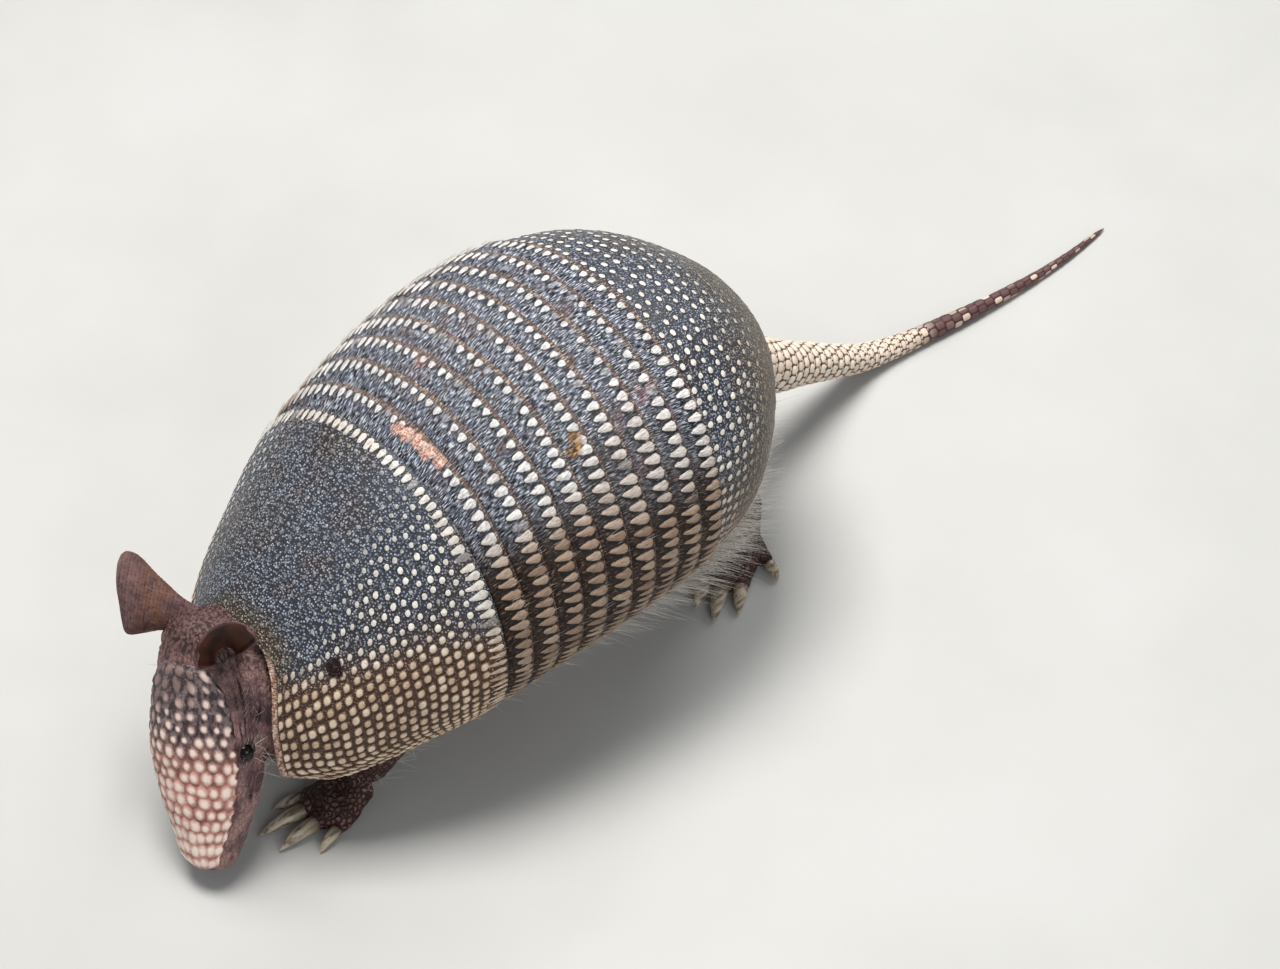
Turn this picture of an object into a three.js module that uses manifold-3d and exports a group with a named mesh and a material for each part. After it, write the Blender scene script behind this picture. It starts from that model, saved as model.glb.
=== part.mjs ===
// A nine-banded armadillo walking with its nose to the ground, at life size.
// Units are millimetres. +Z is up, the animal faces -Y and its left side is +X.
// The floor is z = 0, and the origin is the middle of the model's box, on the floor.
//
// The body is drawn in sections across a spine that runs from the shoulders to the rump.
// Each section is an arch: the plates of the shell follow it, and the trunk fills it.
// The head is drawn in a frame of its own, and turned as a whole. The legs, the toes, the
// claws and the tail are rings along a smooth line, and whatever meets the floor is cut flat.
import * as THREE from "three";
import { mergeVertices } from "three/addons/utils/BufferGeometryUtils.js";
import Module from "manifold-3d";

const wasm = await Module();
wasm.setup();

// ---------------------------------------------------------------- driving dimensions
const GAP = 0.35; // the thin cut between neighbouring pieces
const PLATE = 3.2; // thickness of the shell plates
const FLESH_GAP = 0.6; // the room left under them besides that cut, so that facets never touch
const BAND_COUNT = 9; // movable bands between the two shields
const BAND_STEP = 1.5; // how far a rear margin stands over the next plate
const BANDS_FROM = 0.375; // where along the spine the bands start and end
const BANDS_TO = 0.748;
const SPINE_LENGTH = 291; // from the first section to the last, used to turn gaps into shares
const NAPE_NOTCH = 0.074; // how far the front edge is cut back over the nape
const CORNER_REACH = 0.016; // how far its front edge runs forward, low on each side
const CORNER_CUT = 0.085; // how far its front lower corners are cut back
const RUMP_CORNER = 0.872; // where the rump shield ends at its lower corners
const ARCH_STEPS = 18; // facets from one lower edge of the shell to the other
const SHIELD_ROWS = 5; // facets along each shield

// Sections across the spine, from the shoulders to the tail root. y and z place the widest
// point of the section, pitch is how far the spine climbs towards the rear, in degrees,
// half is the half width, rise the height of the arch over it, belly the depth under it,
// and wrap the angle from the top at which the plates end.
const SECTIONS = [
  { at: 0.0, y: -142, z: 49, pitch: 10, half: 37, rise: 45, belly: 38, wrap: 103 },
  { at: 0.1, y: -123, z: 60, pitch: 6, half: 54, rise: 57, belly: 44, wrap: 108 },
  { at: 0.22, y: -95, z: 74, pitch: 2, half: 70, rise: 70, belly: 50, wrap: 113 },
  { at: 0.36, y: -59, z: 88, pitch: -2, half: 83, rise: 81, belly: 56, wrap: 118 },
  { at: 0.5, y: -16, z: 98, pitch: -5, half: 91, rise: 88, belly: 60, wrap: 121 },
  { at: 0.64, y: 28, z: 104, pitch: -7, half: 96, rise: 88, belly: 62, wrap: 123 },
  { at: 0.76, y: 67, z: 105, pitch: -10, half: 95, rise: 82, belly: 60, wrap: 121 },
  { at: 0.86, y: 100, z: 102, pitch: -16, half: 85, rise: 71, belly: 54, wrap: 117 },
  { at: 0.94, y: 127, z: 97, pitch: -25, half: 63, rise: 52, belly: 42, wrap: 111 },
  { at: 1.0, y: 147, z: 91, pitch: -35, half: 37, rise: 31, belly: 28, wrap: 105 },
];

// The head: where its occiput is, and how it is turned to the left, nosed down and rolled.
const HEAD_AT = [-14.6, -147, 107.3];
const HEAD_TURN = 49;
const HEAD_DOWN = 62.5;
const HEAD_ROLL = -32.5;
// Its sections, at distances forward from the occiput. half is the half width, and top and
// under are the heights over and below the middle line.
const HEAD_SECTIONS = [
  { at: -6, half: 15, top: 10, under: 19 },
  { at: 0, half: 17, top: 13, under: 22 },
  { at: 14, half: 20.5, top: 16, under: 25 },
  { at: 32, half: 23.5, top: 17.5, under: 27 },
  { at: 50, half: 25.5, top: 17.5, under: 28 },
  { at: 64, half: 24.5, top: 16, under: 28 },
  { at: 80, half: 21, top: 14, under: 25.5 },
  { at: 95, half: 16, top: 11.5, under: 20 },
  { at: 106, half: 12.5, top: 9.5, under: 13.5 },
  { at: 112, half: 9.5, top: 7.5, under: 10 },
];
const HEAD_STATIONS = [-6, 2, 14, 28, 42, 55, 68, 81, 94, 105, 112]; // where its rings stand
const HEAD_SIDES = 18;
const HEAD_PLATE = 1.3; // thickness of the head shield
const HEAD_GAP = 0.65; // and its distance from the head, which is coarsely faceted
const EYE = { at: 51, angle: 79, radius: 4.2, sunk: 2.4 };

// The ears: a funnel at the base that opens to a broad fan. lies points from the base to the
// tip and faces points out of the cup, each as a share to the left, to the back and up, in
// the head's frame, curl multiplies the fold of the leaf and skew makes one edge of it longer.
// The ears are turned apart, as a live animal's are.
const EAR = { length: 40, wall: 1.6, bow: 0.13, rows: 6, columns: 7 }; // bow draws the tip's corners back
const EARS = [
  { name: "ear_left", base: [15, -1, 6], lies: [0.48, 0.55, 0.69], faces: [0.54, -0.79, 0.25], curl: 1.6, skew: 7 },
  { name: "ear_right", base: [-5, 5, -4], lies: [-0.65, 0.52, 0.55], faces: [-0.76, -0.51, -0.41], curl: 0.9, skew: -6 },
];
// Half of the leaf's breadth, measured round the curve, and half the angle it curls through
// in degrees, along its length.
const EAR_SECTIONS = [
  { at: 0, arc: 14, fold: 125 },
  { at: 0.2, arc: 14, fold: 105 },
  { at: 0.42, arc: 16.5, fold: 80 },
  { at: 0.65, arc: 19, fold: 60 },
  { at: 0.83, arc: 21, fold: 50 },
  { at: 0.95, arc: 19, fold: 42 },
  { at: 1, arc: 15, fold: 34 },
];

// Rings of the limbs: the middle of each, its half width, and its half height or depth.
const NECK = [
  { x: 0, y: -112, z: 66, wide: 44, tall: 42 },
  { x: -1, y: -124, z: 72, wide: 36, tall: 37 },
  { x: -4, y: -134, z: 80, wide: 28, tall: 31 },
  { x: -7, y: -143, z: 87, wide: 22, tall: 25 },
];
const FRONT_LEG = [
  { x: 36, y: -88, z: 66, wide: 17, tall: 23 },
  { x: 39, y: -87, z: 48, wide: 15, tall: 19 },
  { x: 38, y: -94, z: 32, wide: 11.5, tall: 13.5 },
  { x: 34, y: -101, z: 17, wide: 9.5, tall: 10 },
];
const HIND_LEG = [
  { x: 44, y: 96, z: 78, wide: 24, tall: 34 },
  { x: 50, y: 92, z: 58, wide: 20, tall: 28 },
  { x: 45, y: 113, z: 38, wide: 13.5, tall: 17 },
  { x: 33, y: 138, z: 18, wide: 10, tall: 10.5 },
];
// Each leg: its rings, how far it is carried forward, the heel of its foot on the floor,
// and the way its toes point, in degrees out from straight ahead.
const LEGS = [
  { name: "front_left", side: 1, rings: FRONT_LEG, forward: 0, sole: [33.5, -103], out: -6 },
  { name: "front_right", side: -1, rings: FRONT_LEG, forward: -26, sole: [35.5, -77], out: 4 },
  { name: "hind_left", side: 1, rings: HIND_LEG, forward: 0, sole: [27, 149], out: 34 },
  { name: "hind_right", side: -1, rings: HIND_LEG, forward: 44, sole: [31, 105], out: 18 },
];

// Feet, in the foot's own frame: forward along the toes from the back of the sole.
const FRONT_PAD = [
  { x: 0, y: 6, z: 10, wide: 8.5, tall: 9 },
  { x: 0, y: -4, z: 8.5, wide: 11, tall: 9.5 },
  { x: 0, y: -14, z: 7, wide: 13, tall: 8 },
  { x: 0, y: -20, z: 6, wide: 11.5, tall: 6.5 },
];
const HIND_PAD = [
  { x: 0, y: 5, z: 9, wide: 7.5, tall: 10 },
  { x: 0, y: -8, z: 9, wide: 9.5, tall: 10.5 },
  { x: 0, y: -24, z: 8, wide: 12.5, tall: 9 },
  { x: 0, y: -38, z: 6.5, wide: 14.5, tall: 7.5 },
  { x: 0, y: -45, z: 5.5, wide: 13, tall: 6 },
];
// Toes: where each leaves the pad, from its inner side out, with its length and thickness,
// its turn outwards in degrees, and the length of its claw.
const FRONT_TOES = [
  { x: -9.5, y: -13, length: 11, thick: 4.4, out: -16, claw: 13 },
  { x: -4.2, y: -17, length: 11, thick: 5.4, out: -5, claw: 22 },
  { x: 3.4, y: -17, length: 10.5, thick: 5.2, out: 4, claw: 20 },
  { x: 9.3, y: -11, length: 11, thick: 4.2, out: 20, claw: 12 },
];
const HIND_TOES = [
  { x: -11, y: -30, length: 13, thick: 4.4, out: -20, claw: 9 },
  { x: -7.5, y: -42, length: 11, thick: 5.2, out: -6, claw: 13 },
  { x: 0, y: -44, length: 12.5, thick: 5.6, out: 0, claw: 15 },
  { x: 7.5, y: -41, length: 10.5, thick: 5.2, out: 7, claw: 13 },
  { x: 10.5, y: -23, length: 12.5, thick: 4.2, out: 42, claw: 8.5 },
];

// The tail: it droops from the rump and trails along the floor.
const TAIL = [
  { x: 0, y: 150, z: 90, radius: 19 },
  { x: 0, y: 170, z: 71, radius: 15.8 },
  { x: 0, y: 192, z: 53, radius: 12.8 },
  { x: -2, y: 213, z: 39, radius: 10.6 },
  { x: -3, y: 236, z: 24, radius: 8.6 },
  { x: -4, y: 260, z: 10, radius: 7 },
  { x: -1, y: 284, z: 5.1, radius: 5.6 },
  { x: 5, y: 320, z: 4, radius: 4.4 },
  { x: 9, y: 358, z: 2.9, radius: 3.2 },
  { x: 10, y: 392, z: 1.9, radius: 2.2 },
  { x: 8, y: 424, z: 1.1, radius: 1.4 },
];
const TAIL_CUTS = [0, 2.2, 4.2, 6.2, 8.1, 10]; // where its lengths meet, in rings of the list
const TAIL_GAP = 0.012; // and the cut between two of them

// ---------------------------------------------------------------- small tools
const rad = THREE.MathUtils.degToRad;
const lerp = THREE.MathUtils.lerp;
const smooth = THREE.MathUtils.smoothstep;
const span = (n, from, to) => Array.from({ length: n + 1 }, (_, i) => lerp(from, to, i / n));
const V = (x, y, z) => new THREE.Vector3(x, y, z);
const point = (row) => V(row.x, row.y, row.z);

// A smooth curve through the rows of a table, read for one of its columns at t.
function along(table, key, t) {
  const last = table.length - 1;
  let i = 0;
  while (i < last - 1 && table[i + 1].at < t) i += 1;
  const [a, b] = [table[i], table[i + 1]];
  const before = table[Math.max(i - 1, 0)];
  const after = table[Math.min(i + 2, last)];
  const width = b.at - a.at;
  const k = (t - a.at) / width;
  const slopeA = ((b[key] - before[key]) / (b.at - before.at)) * width;
  const slopeB = ((after[key] - a[key]) / (after.at - a.at)) * width;
  const k2 = k * k;
  const k3 = k2 * k;
  const held = (2 * k3 - 3 * k2 + 1) * a[key] + (3 * k2 - 2 * k3) * b[key];
  return held + (k3 - 2 * k2 + k) * slopeA + (k3 - k2) * slopeB;
}

function geometryOf(points, triangles) {
  const geometry = new THREE.BufferGeometry();
  const flat = points.flatMap((p) => p.toArray());
  geometry.setAttribute("position", new THREE.Float32BufferAttribute(flat, 3));
  geometry.setIndex(triangles.flat());
  return geometry;
}

// The closed body between an outer and an inner grid of points of the same size.
function slab(outer, inner) {
  const rows = outer.length;
  const columns = outer[0].length;
  const points = [...outer.flat(), ...inner.flat()];
  const id = (i, j, layer) => (layer * rows + i) * columns + j;
  const triangles = [];
  const quad = (a, b, c, d) => triangles.push([a, b, c], [a, c, d]);
  for (let i = 0; i < rows - 1; i++) {
    for (let j = 0; j < columns - 1; j++) {
      quad(id(i, j, 0), id(i, j + 1, 0), id(i + 1, j + 1, 0), id(i + 1, j, 0));
      quad(id(i, j, 1), id(i + 1, j, 1), id(i + 1, j + 1, 1), id(i, j + 1, 1));
    }
  }
  const [bottom, right] = [rows - 1, columns - 1];
  for (let i = 0; i < bottom; i++) {
    quad(id(i, 0, 0), id(i + 1, 0, 0), id(i + 1, 0, 1), id(i, 0, 1));
    quad(id(i, right, 0), id(i, right, 1), id(i + 1, right, 1), id(i + 1, right, 0));
  }
  for (let j = 0; j < right; j++) {
    quad(id(0, j, 0), id(0, j, 1), id(0, j + 1, 1), id(0, j + 1, 0));
    quad(id(bottom, j, 0), id(bottom, j + 1, 0), id(bottom, j + 1, 1), id(bottom, j, 1));
  }
  return geometryOf(points, triangles);
}

const middleOf = (ring) => ring.reduce((sum, p) => sum.add(p), V(0, 0, 0)).divideScalar(ring.length);

// The closed body through a row of rings, each a loop of the same number of points.
function loft(rings) {
  const size = rings[0].length;
  const points = [...rings.flat(), middleOf(rings[0]), middleOf(rings[rings.length - 1])];
  const first = rings.length * size;
  const triangles = [];
  for (let i = 0; i < rings.length - 1; i++) {
    for (let j = 0; j < size; j++) {
      const a = i * size + j;
      const b = i * size + ((j + 1) % size);
      triangles.push([a, b, b + size], [a, b + size, a + size]);
    }
  }
  for (let j = 0; j < size; j++) {
    const next = (j + 1) % size;
    triangles.push([first, next, j]);
    triangles.push([first + 1, first - size + j, first - size + next]);
  }
  return geometryOf(points, triangles);
}

// A closed geometry as a solid, with its faces turned outwards.
function solid(geometry) {
  const plain = geometry.clone();
  plain.deleteAttribute("normal");
  plain.deleteAttribute("uv");
  const merged = mergeVertices(plain, 1e-4);
  const vertProperties = merged.attributes.position.array;
  const build = (triVerts) => new wasm.Manifold(new wasm.Mesh({ numProp: 3, vertProperties, triVerts }));
  const order = new Uint32Array(merged.index.array);
  const made = build(order);
  if (made.volume() > 0) return made;
  return build(order.reverse());
}

// The largest piece of a solid, so that a cut leaves no crumbs.
const largest = (made) => made.decompose().sort((a, b) => b.volume() - a.volume())[0];

function geometryOfSolid(made) {
  const mesh = made.getMesh();
  const geometry = new THREE.BufferGeometry();
  geometry.setAttribute("position", new THREE.BufferAttribute(mesh.vertProperties, 3));
  geometry.setIndex(new THREE.BufferAttribute(mesh.triVerts, 1));
  return geometry;
}

// Rings along a smooth line through the rows of a table, from row to row. A row is a middle
// with a half width across the body and a half height, and grow widens every ring.
function limbRings(rows, steps, sides, { from = 0, to = rows.length - 1, grow = 0 } = {}) {
  const line = new THREE.CatmullRomCurve3(rows.map(point));
  const table = rows.map((row, at) => ({ at, wide: row.wide ?? row.radius, tall: row.tall ?? row.radius }));
  return span(steps, from, to).map((at) => {
    const t = at / (rows.length - 1);
    const [middle, ahead] = [line.getPoint(t), line.getTangent(t)];
    const across = V(1, 0, 0).addScaledVector(ahead, -ahead.x).normalize();
    const over = ahead.clone().cross(across);
    const [wide, tall] = [along(table, "wide", at) + grow, along(table, "tall", at) + grow];
    return span(sides, 0, Math.PI * 2).slice(1).map((a) =>
      middle.clone().addScaledVector(across, Math.sin(a) * wide).addScaledVector(over, Math.cos(a) * tall),
    );
  });
}

// A ring drawn in towards its middle and moved on, which rounds the end of a loft.
function roundedEnd(ring, move, shrink) {
  const middle = middleOf(ring);
  return ring.map((p) => p.clone().lerp(middle, shrink).add(move));
}

// The same rings with a rounded end on each side of the row.
function rounded(rings, { start = 0, end = 0, shrink = 0.4 } = {}) {
  const last = rings.length - 1;
  const back = middleOf(rings[0]).sub(middleOf(rings[1])).normalize();
  const on = middleOf(rings[last]).sub(middleOf(rings[last - 1])).normalize();
  const made = [...rings];
  if (start) made.unshift(roundedEnd(rings[0], back.multiplyScalar(start), shrink));
  if (end) made.push(roundedEnd(rings[last], on.multiplyScalar(end), shrink));
  return made;
}

const FLOOR_BOX = new THREE.BoxGeometry(2000, 2000, 100).translate(0, 0, -50);
const underFloor = solid(FLOOR_BOX);
const onFloor = (made) => made.subtract(underFloor);

// ---------------------------------------------------------------- materials
const material = (color, roughness) => new THREE.MeshStandardMaterial({ color, roughness, metalness: 0 });
const finishes = {
  shell: material(0x4a4541, 0.55),
  headShield: material(0xb08f84, 0.6),
  skin: material(0x6b5048, 0.75),
  ear: material(0x553428, 0.7),
  eye: material(0x080707, 0.1),
  claw: material(0xb9a890, 0.45),
  tailRings: material(0xcdb8a8, 0.55),
  tailTip: material(0x6f5a56, 0.6),
};

const armadillo = new THREE.Group();
armadillo.name = "armadillo";

function add(name, made, finish, group = armadillo) {
  const mesh = new THREE.Mesh(geometryOfSolid(made), finishes[finish]);
  mesh.name = name;
  group.add(mesh);
}

// ---------------------------------------------------------------- the shell
const section = (key, s) => along(SECTIONS, key, s);

// A point of the section at s, at an angle from the top, positive to the left side.
function archPoint(s, angle) {
  const pitch = rad(section("pitch", s));
  const over = Math.abs(angle) < Math.PI / 2 ? "rise" : "belly";
  const side = Math.sin(angle) * section("half", s);
  const up = Math.cos(angle) * section(over, s);
  return V(side, section("y", s) - up * Math.sin(pitch), section("z", s) + up * Math.cos(pitch));
}

// The same point, moved along the outward normal of the surface.
function shellPoint(s, angle, lift) {
  const [ds, da] = [0.004, 0.01];
  const backwards = archPoint(s + ds, angle).sub(archPoint(s - ds, angle));
  const leftwards = archPoint(s, angle + da).sub(archPoint(s, angle - da));
  const normal = leftwards.cross(backwards).normalize();
  return archPoint(s, angle).addScaledVector(normal, lift);
}

// A plate of the shell between two limits along the spine, which may change across it.
// margin is how far its rear edge is raised.
function plate(from, to, rows, margin, under = 0) {
  const grid = (lift) =>
    span(rows, 0, 1).map((k) =>
      span(ARCH_STEPS, -1, 1).map((across) => {
        const s = lerp(from(across), to(across), k);
        return shellPoint(s, across * rad(section("wrap", s)), lift(k));
      }),
    );
  return solid(slab(grid(margin), grid(() => -PLATE - under)));
}

const frontEdge = (across) => {
  const side = Math.abs(across);
  const nape = NAPE_NOTCH * (1 - smooth(side, 0.1, 0.6));
  return nape - CORNER_REACH * smooth(side, 0.5, 0.8) + CORNER_CUT * smooth(side, 0.82, 1.02);
};
const rumpEdge = (across) => lerp(1, RUMP_CORNER, smooth(Math.abs(across), 0.45, 1));
const gapShare = GAP / SPINE_LENGTH;
const bandAt = (i) => lerp(BANDS_FROM, BANDS_TO, i / BAND_COUNT);
const raisedAtTheRear = (k) => BAND_STEP * smooth(k, 0.6, 1);

const scapular = plate(frontEdge, () => BANDS_FROM - gapShare, SHIELD_ROWS, raisedAtTheRear);
add("scapular_shield", scapular, "shell");
const shieldRoom = plate((across) => frontEdge(across) - gapShare, () => BANDS_FROM, SHIELD_ROWS, () => GAP, GAP);
for (let i = 0; i < BAND_COUNT; i++) {
  const band = plate(() => bandAt(i), () => bandAt(i + 1) - gapShare, 1, (k) => BAND_STEP * k);
  add(`band_${i + 1}`, band, "shell");
}
add("pelvic_shield", plate(() => BANDS_TO, rumpEdge, SHIELD_ROWS, () => 0), "shell");

// ---------------------------------------------------------------- the trunk
// It fills the arch to just under the plates, and its belly closes the section below them.
const TRUNK_SIDES = 22;
const TRUNK_FROM = 0.1;
const TRUNK_STEPS = 10;
const CHEST_TUCK = 11; // how far the underside is drawn in below the plates, at the front
const BELLY_TUCK = 3; // and behind the ribs
function trunkRings(grow) {
  const inset = PLATE + GAP + FLESH_GAP - grow;
  const ring = (s) => {
    const edge = rad(section("wrap", s));
    const depth = lerp(CHEST_TUCK, BELLY_TUCK, smooth(s, TRUNK_FROM, 0.4));
    const tuck = (angle) => depth * smooth(Math.abs(angle), edge - 0.15, edge + 0.5);
    return span(TRUNK_SIDES, -Math.PI, Math.PI).slice(1).map((a) => shellPoint(s, a, -inset - tuck(a)));
  };
  const rings = span(TRUNK_STEPS, TRUNK_FROM, 1).map(ring);
  return rounded(rings, { start: 6 + grow * 2, end: 7 + grow * 2, shrink: 0.3 });
}
const trunk = solid(loft(trunkRings(0)));
const trunkRoom = solid(loft(trunkRings(GAP)));

// ---------------------------------------------------------------- the head
// In the head's own frame the nose points along -y, its left is +x and its top is +z.
const head = new THREE.Group();
head.position.set(...HEAD_AT);
head.rotation.set(rad(HEAD_DOWN), rad(HEAD_ROLL), rad(HEAD_TURN), "ZXY");
head.updateMatrixWorld(true);
armadillo.add(head);

const headAt = (key, at) => along(HEAD_SECTIONS, key, at);
function headPoint(at, angle, lift = 0) {
  const over = Math.abs(angle) < Math.PI / 2 ? "top" : "under";
  const side = Math.sin(angle) * (headAt("half", at) + lift);
  const up = Math.cos(angle) * (headAt(over, at) + lift);
  return V(side, -at, up);
}
function headRings(grow) {
  const ring = (at) => span(HEAD_SIDES, -Math.PI, Math.PI).slice(1).map((a) => headPoint(at, a, grow));
  return rounded(HEAD_STATIONS.map(ring), { start: 4, end: 2.2, shrink: 0.35 });
}

// The plate on the head, from between the ears to the nose, and narrow at both ends.
const SHIELD_STEPS = 8; // its facets along and across
const HEAD_SHIELD = [
  { at: 12, reach: 38 },
  { at: 24, reach: 56 },
  { at: 44, reach: 60 },
  { at: 66, reach: 60 },
  { at: 88, reach: 56 },
  { at: 106, reach: 44 },
];
function headShield() {
  const [first, last] = [HEAD_SHIELD[0], HEAD_SHIELD[HEAD_SHIELD.length - 1]];
  const grid = (lift) =>
    span(SHIELD_STEPS, first.at, last.at).map((at) =>
      span(SHIELD_STEPS, -1, 1).map((k) => headPoint(at, k * rad(along(HEAD_SHIELD, "reach", at)), lift)),
    );
  return solid(slab(grid(HEAD_GAP + HEAD_PLATE), grid(HEAD_GAP)));
}

function eye(side, grow) {
  const middle = headPoint(EYE.at, side * rad(EYE.angle), -EYE.sunk);
  const ball = new THREE.SphereGeometry(EYE.radius + grow, 8, 6);
  return solid(ball.translate(middle.x, middle.y, middle.z));
}

// An ear: its back follows a straight line from base to tip, and its two edges curl round
// towards the side it opens to.
function ear({ base, lies, faces, curl, skew }) {
  const axis = V(...lies).normalize();
  const opens = V(...faces);
  opens.addScaledVector(axis, -opens.dot(axis)).normalize();
  const across = axis.clone().cross(opens);
  const earPoint = (v, u, inwards) => {
    const fold = rad(along(EAR_SECTIONS, "fold", v)) * lerp(1, curl, v);
    const radius = along(EAR_SECTIONS, "arc", v) / fold;
    const angle = fold * u;
    return V(...base)
      .addScaledVector(axis, (EAR.length * (1 - EAR.bow * u * u) + skew * u) * v)
      .addScaledVector(opens, radius - (radius - inwards) * Math.cos(angle))
      .addScaledVector(across, (radius - inwards) * Math.sin(angle));
  };
  const grid = (inwards) => span(EAR.rows, 0, 1).map((v) => span(EAR.columns, -1, 1).map((u) => earPoint(v, u, inwards)));
  return solid(slab(grid(0), grid(EAR.wall)));
}

const toHead = head.matrixWorld.clone().invert();
const shieldRoomAtHead = solid(geometryOfSolid(shieldRoom).applyMatrix4(toHead));
const headRoom = solid(loft(headRings(GAP)));
const [leftEye, rightEye] = [eye(1, 0), eye(-1, 0)];
const wholeHead = solid(loft(headRings(0))).subtract(shieldRoomAtHead);
const headSolid = wholeHead.subtract(eye(1, GAP)).subtract(eye(-1, GAP));
add("head", headSolid, "skin", head);
add("head_shield", headShield(), "headShield", head);
add("eye_left", leftEye, "eye", head);
add("eye_right", rightEye, "eye", head);
for (const row of EARS) add(row.name, largest(ear(row).subtract(headRoom)), "ear", head);

// ---------------------------------------------------------------- the neck
const inWorld = (geometry) => geometry.clone().applyMatrix4(head.matrixWorld);
const headRoomInWorld = solid(inWorld(loft(headRings(GAP))));
const neck = solid(loft(limbRings(NECK, 4, 12)));
add("neck", largest(neck.subtract(trunkRoom).subtract(headRoomInWorld)), "skin");
add("trunk", trunk.subtract(headRoomInWorld), "skin");

// ---------------------------------------------------------------- legs, feet and claws
// A table's rows carried to the other side of the body, forward, or turned about the heel.
const onSide = (rows, side, forward) =>
  rows.map((row) => ({ ...row, x: row.x * side, y: row.y - forward }));

function toeRows({ x, y, length, thick, out }, side) {
  const turn = rad(out);
  const step = (k) => [side * (x + Math.sin(turn) * length * k), y - Math.cos(turn) * length * k];
  return [0, 0.5, 1].map((k) => {
    const [px, py] = step(k);
    return { x: px, y: py, z: thick * lerp(1.05, 0.8, k), wide: thick * lerp(1, 0.86, k), tall: thick * lerp(1.1, 0.82, k) };
  });
}

// A claw leaves the end of its toe, runs on, and bends down to the floor.
function clawRows({ x, y, length, thick, out, claw }, side) {
  const turn = rad(out);
  return span(3, 0, 1).map((k) => {
    const reach = length + GAP + claw * k;
    const width = thick * 0.6 * (1 - k * k) + 0.45;
    return {
      x: side * (x + Math.sin(turn) * reach),
      y: y - Math.cos(turn) * reach,
      z: thick * lerp(0.9, 0.2, k * k),
      wide: width,
      tall: width * 0.86,
    };
  });
}

for (const { name, side, rings, forward, sole, out } of LEGS) {
  const isFront = rings === FRONT_LEG;
  const foot = new THREE.Group();
  foot.position.set(side * sole[0], sole[1], 0);
  foot.rotation.z = side * rad(out);
  foot.updateMatrixWorld(true);
  armadillo.add(foot);

  const toes = isFront ? FRONT_TOES : HIND_TOES;
  const padRows = isFront ? FRONT_PAD : HIND_PAD;
  const pad = solid(loft(rounded(limbRings(padRows, 4, 10), { start: 3, end: 2 })));
  const toeSolids = toes.map((toe) => solid(loft(limbRings(toeRows(toe, side), 2, 6))));
  const whole = onFloor(toeSolids.reduce((sum, toe) => sum.add(toe), pad));
  add(`foot_${name}`, whole, "skin", foot);
  toes.forEach((toe, i) => {
    const claw = onFloor(solid(loft(limbRings(clawRows(toe, side), 3, 6))));
    add(`claw_${name}_${i + 1}`, claw, "claw", foot);
  });

  const leg = solid(loft(limbRings(onSide(rings, side, forward), 5, 12)));
  const footRoom = solid(geometryOfSolid(whole).applyMatrix4(foot.matrixWorld));
  add(`leg_${name}`, largest(leg.subtract(trunkRoom).subtract(footRoom)), "skin");
}

// ---------------------------------------------------------------- the tail
for (let i = 0; i < TAIL_CUTS.length - 1; i++) {
  const [from, to] = [TAIL_CUTS[i] + (i ? TAIL_GAP : 0), TAIL_CUTS[i + 1]];
  const rings = limbRings(TAIL, 4, 10, { from, to });
  const isTip = i === TAIL_CUTS.length - 2;
  const length = onFloor(solid(loft(isTip ? rounded(rings, { end: 1 }) : rings)));
  add(`tail_${i + 1}`, i ? length : length.subtract(trunkRoom), i < 3 ? "tailRings" : "tailTip");
}

// ---------------------------------------------------------------- the part's own frame
// The middle of the box, on the floor, becomes the origin.
armadillo.updateMatrixWorld(true);
const box = new THREE.Box3().setFromObject(armadillo, true);
const middle = box.getCenter(V(0, 0, 0));
armadillo.position.set(-middle.x, -middle.y, -box.min.z);

export default armadillo;
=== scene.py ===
"""A nine-banded armadillo nosing along the ground: shell, skin, scales, hair, floor and light.

The shape comes from the same sections, rings and angles as the solids in the frame. They are
given in millimetres in the animal's own frame, whose floor is z = 0, and placed() carries them
to metres in the frame.
"""

import math

import bmesh
import bpy
import numpy as np
from mathutils import Matrix, Vector


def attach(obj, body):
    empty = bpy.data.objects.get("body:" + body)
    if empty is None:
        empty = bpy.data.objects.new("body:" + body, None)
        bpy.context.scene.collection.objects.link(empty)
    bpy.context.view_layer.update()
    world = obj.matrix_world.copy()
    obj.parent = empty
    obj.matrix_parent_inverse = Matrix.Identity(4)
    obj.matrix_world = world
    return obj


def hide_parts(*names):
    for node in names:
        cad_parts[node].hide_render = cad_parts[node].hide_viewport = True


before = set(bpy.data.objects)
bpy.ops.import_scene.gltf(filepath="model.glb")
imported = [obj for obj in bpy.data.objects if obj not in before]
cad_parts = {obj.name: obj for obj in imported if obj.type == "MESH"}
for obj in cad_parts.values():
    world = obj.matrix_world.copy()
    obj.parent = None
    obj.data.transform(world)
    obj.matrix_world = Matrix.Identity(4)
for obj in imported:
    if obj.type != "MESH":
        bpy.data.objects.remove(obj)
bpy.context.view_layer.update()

MM = 0.001
ALONG_SHIFT = -117.337  # from the animal's own frame to the middle of its box
RNG = np.random.default_rng(7)

# ------------------------------------------------------------------ the shape, in mm
PLATE = 3.2
GAP = 0.35
BAND_COUNT = 9
BAND_STEP = 1.5
BANDS_FROM, BANDS_TO = 0.375, 0.748
SPINE_LENGTH = 291
NAPE_NOTCH, CORNER_REACH, CORNER_CUT, RUMP_CORNER = 0.074, 0.016, 0.085, 0.872


def table(keys, rows):
    """Columns of a section table, by name."""
    return {key: np.array(column, float) for key, column in zip(keys.split(), zip(*rows))}


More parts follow.
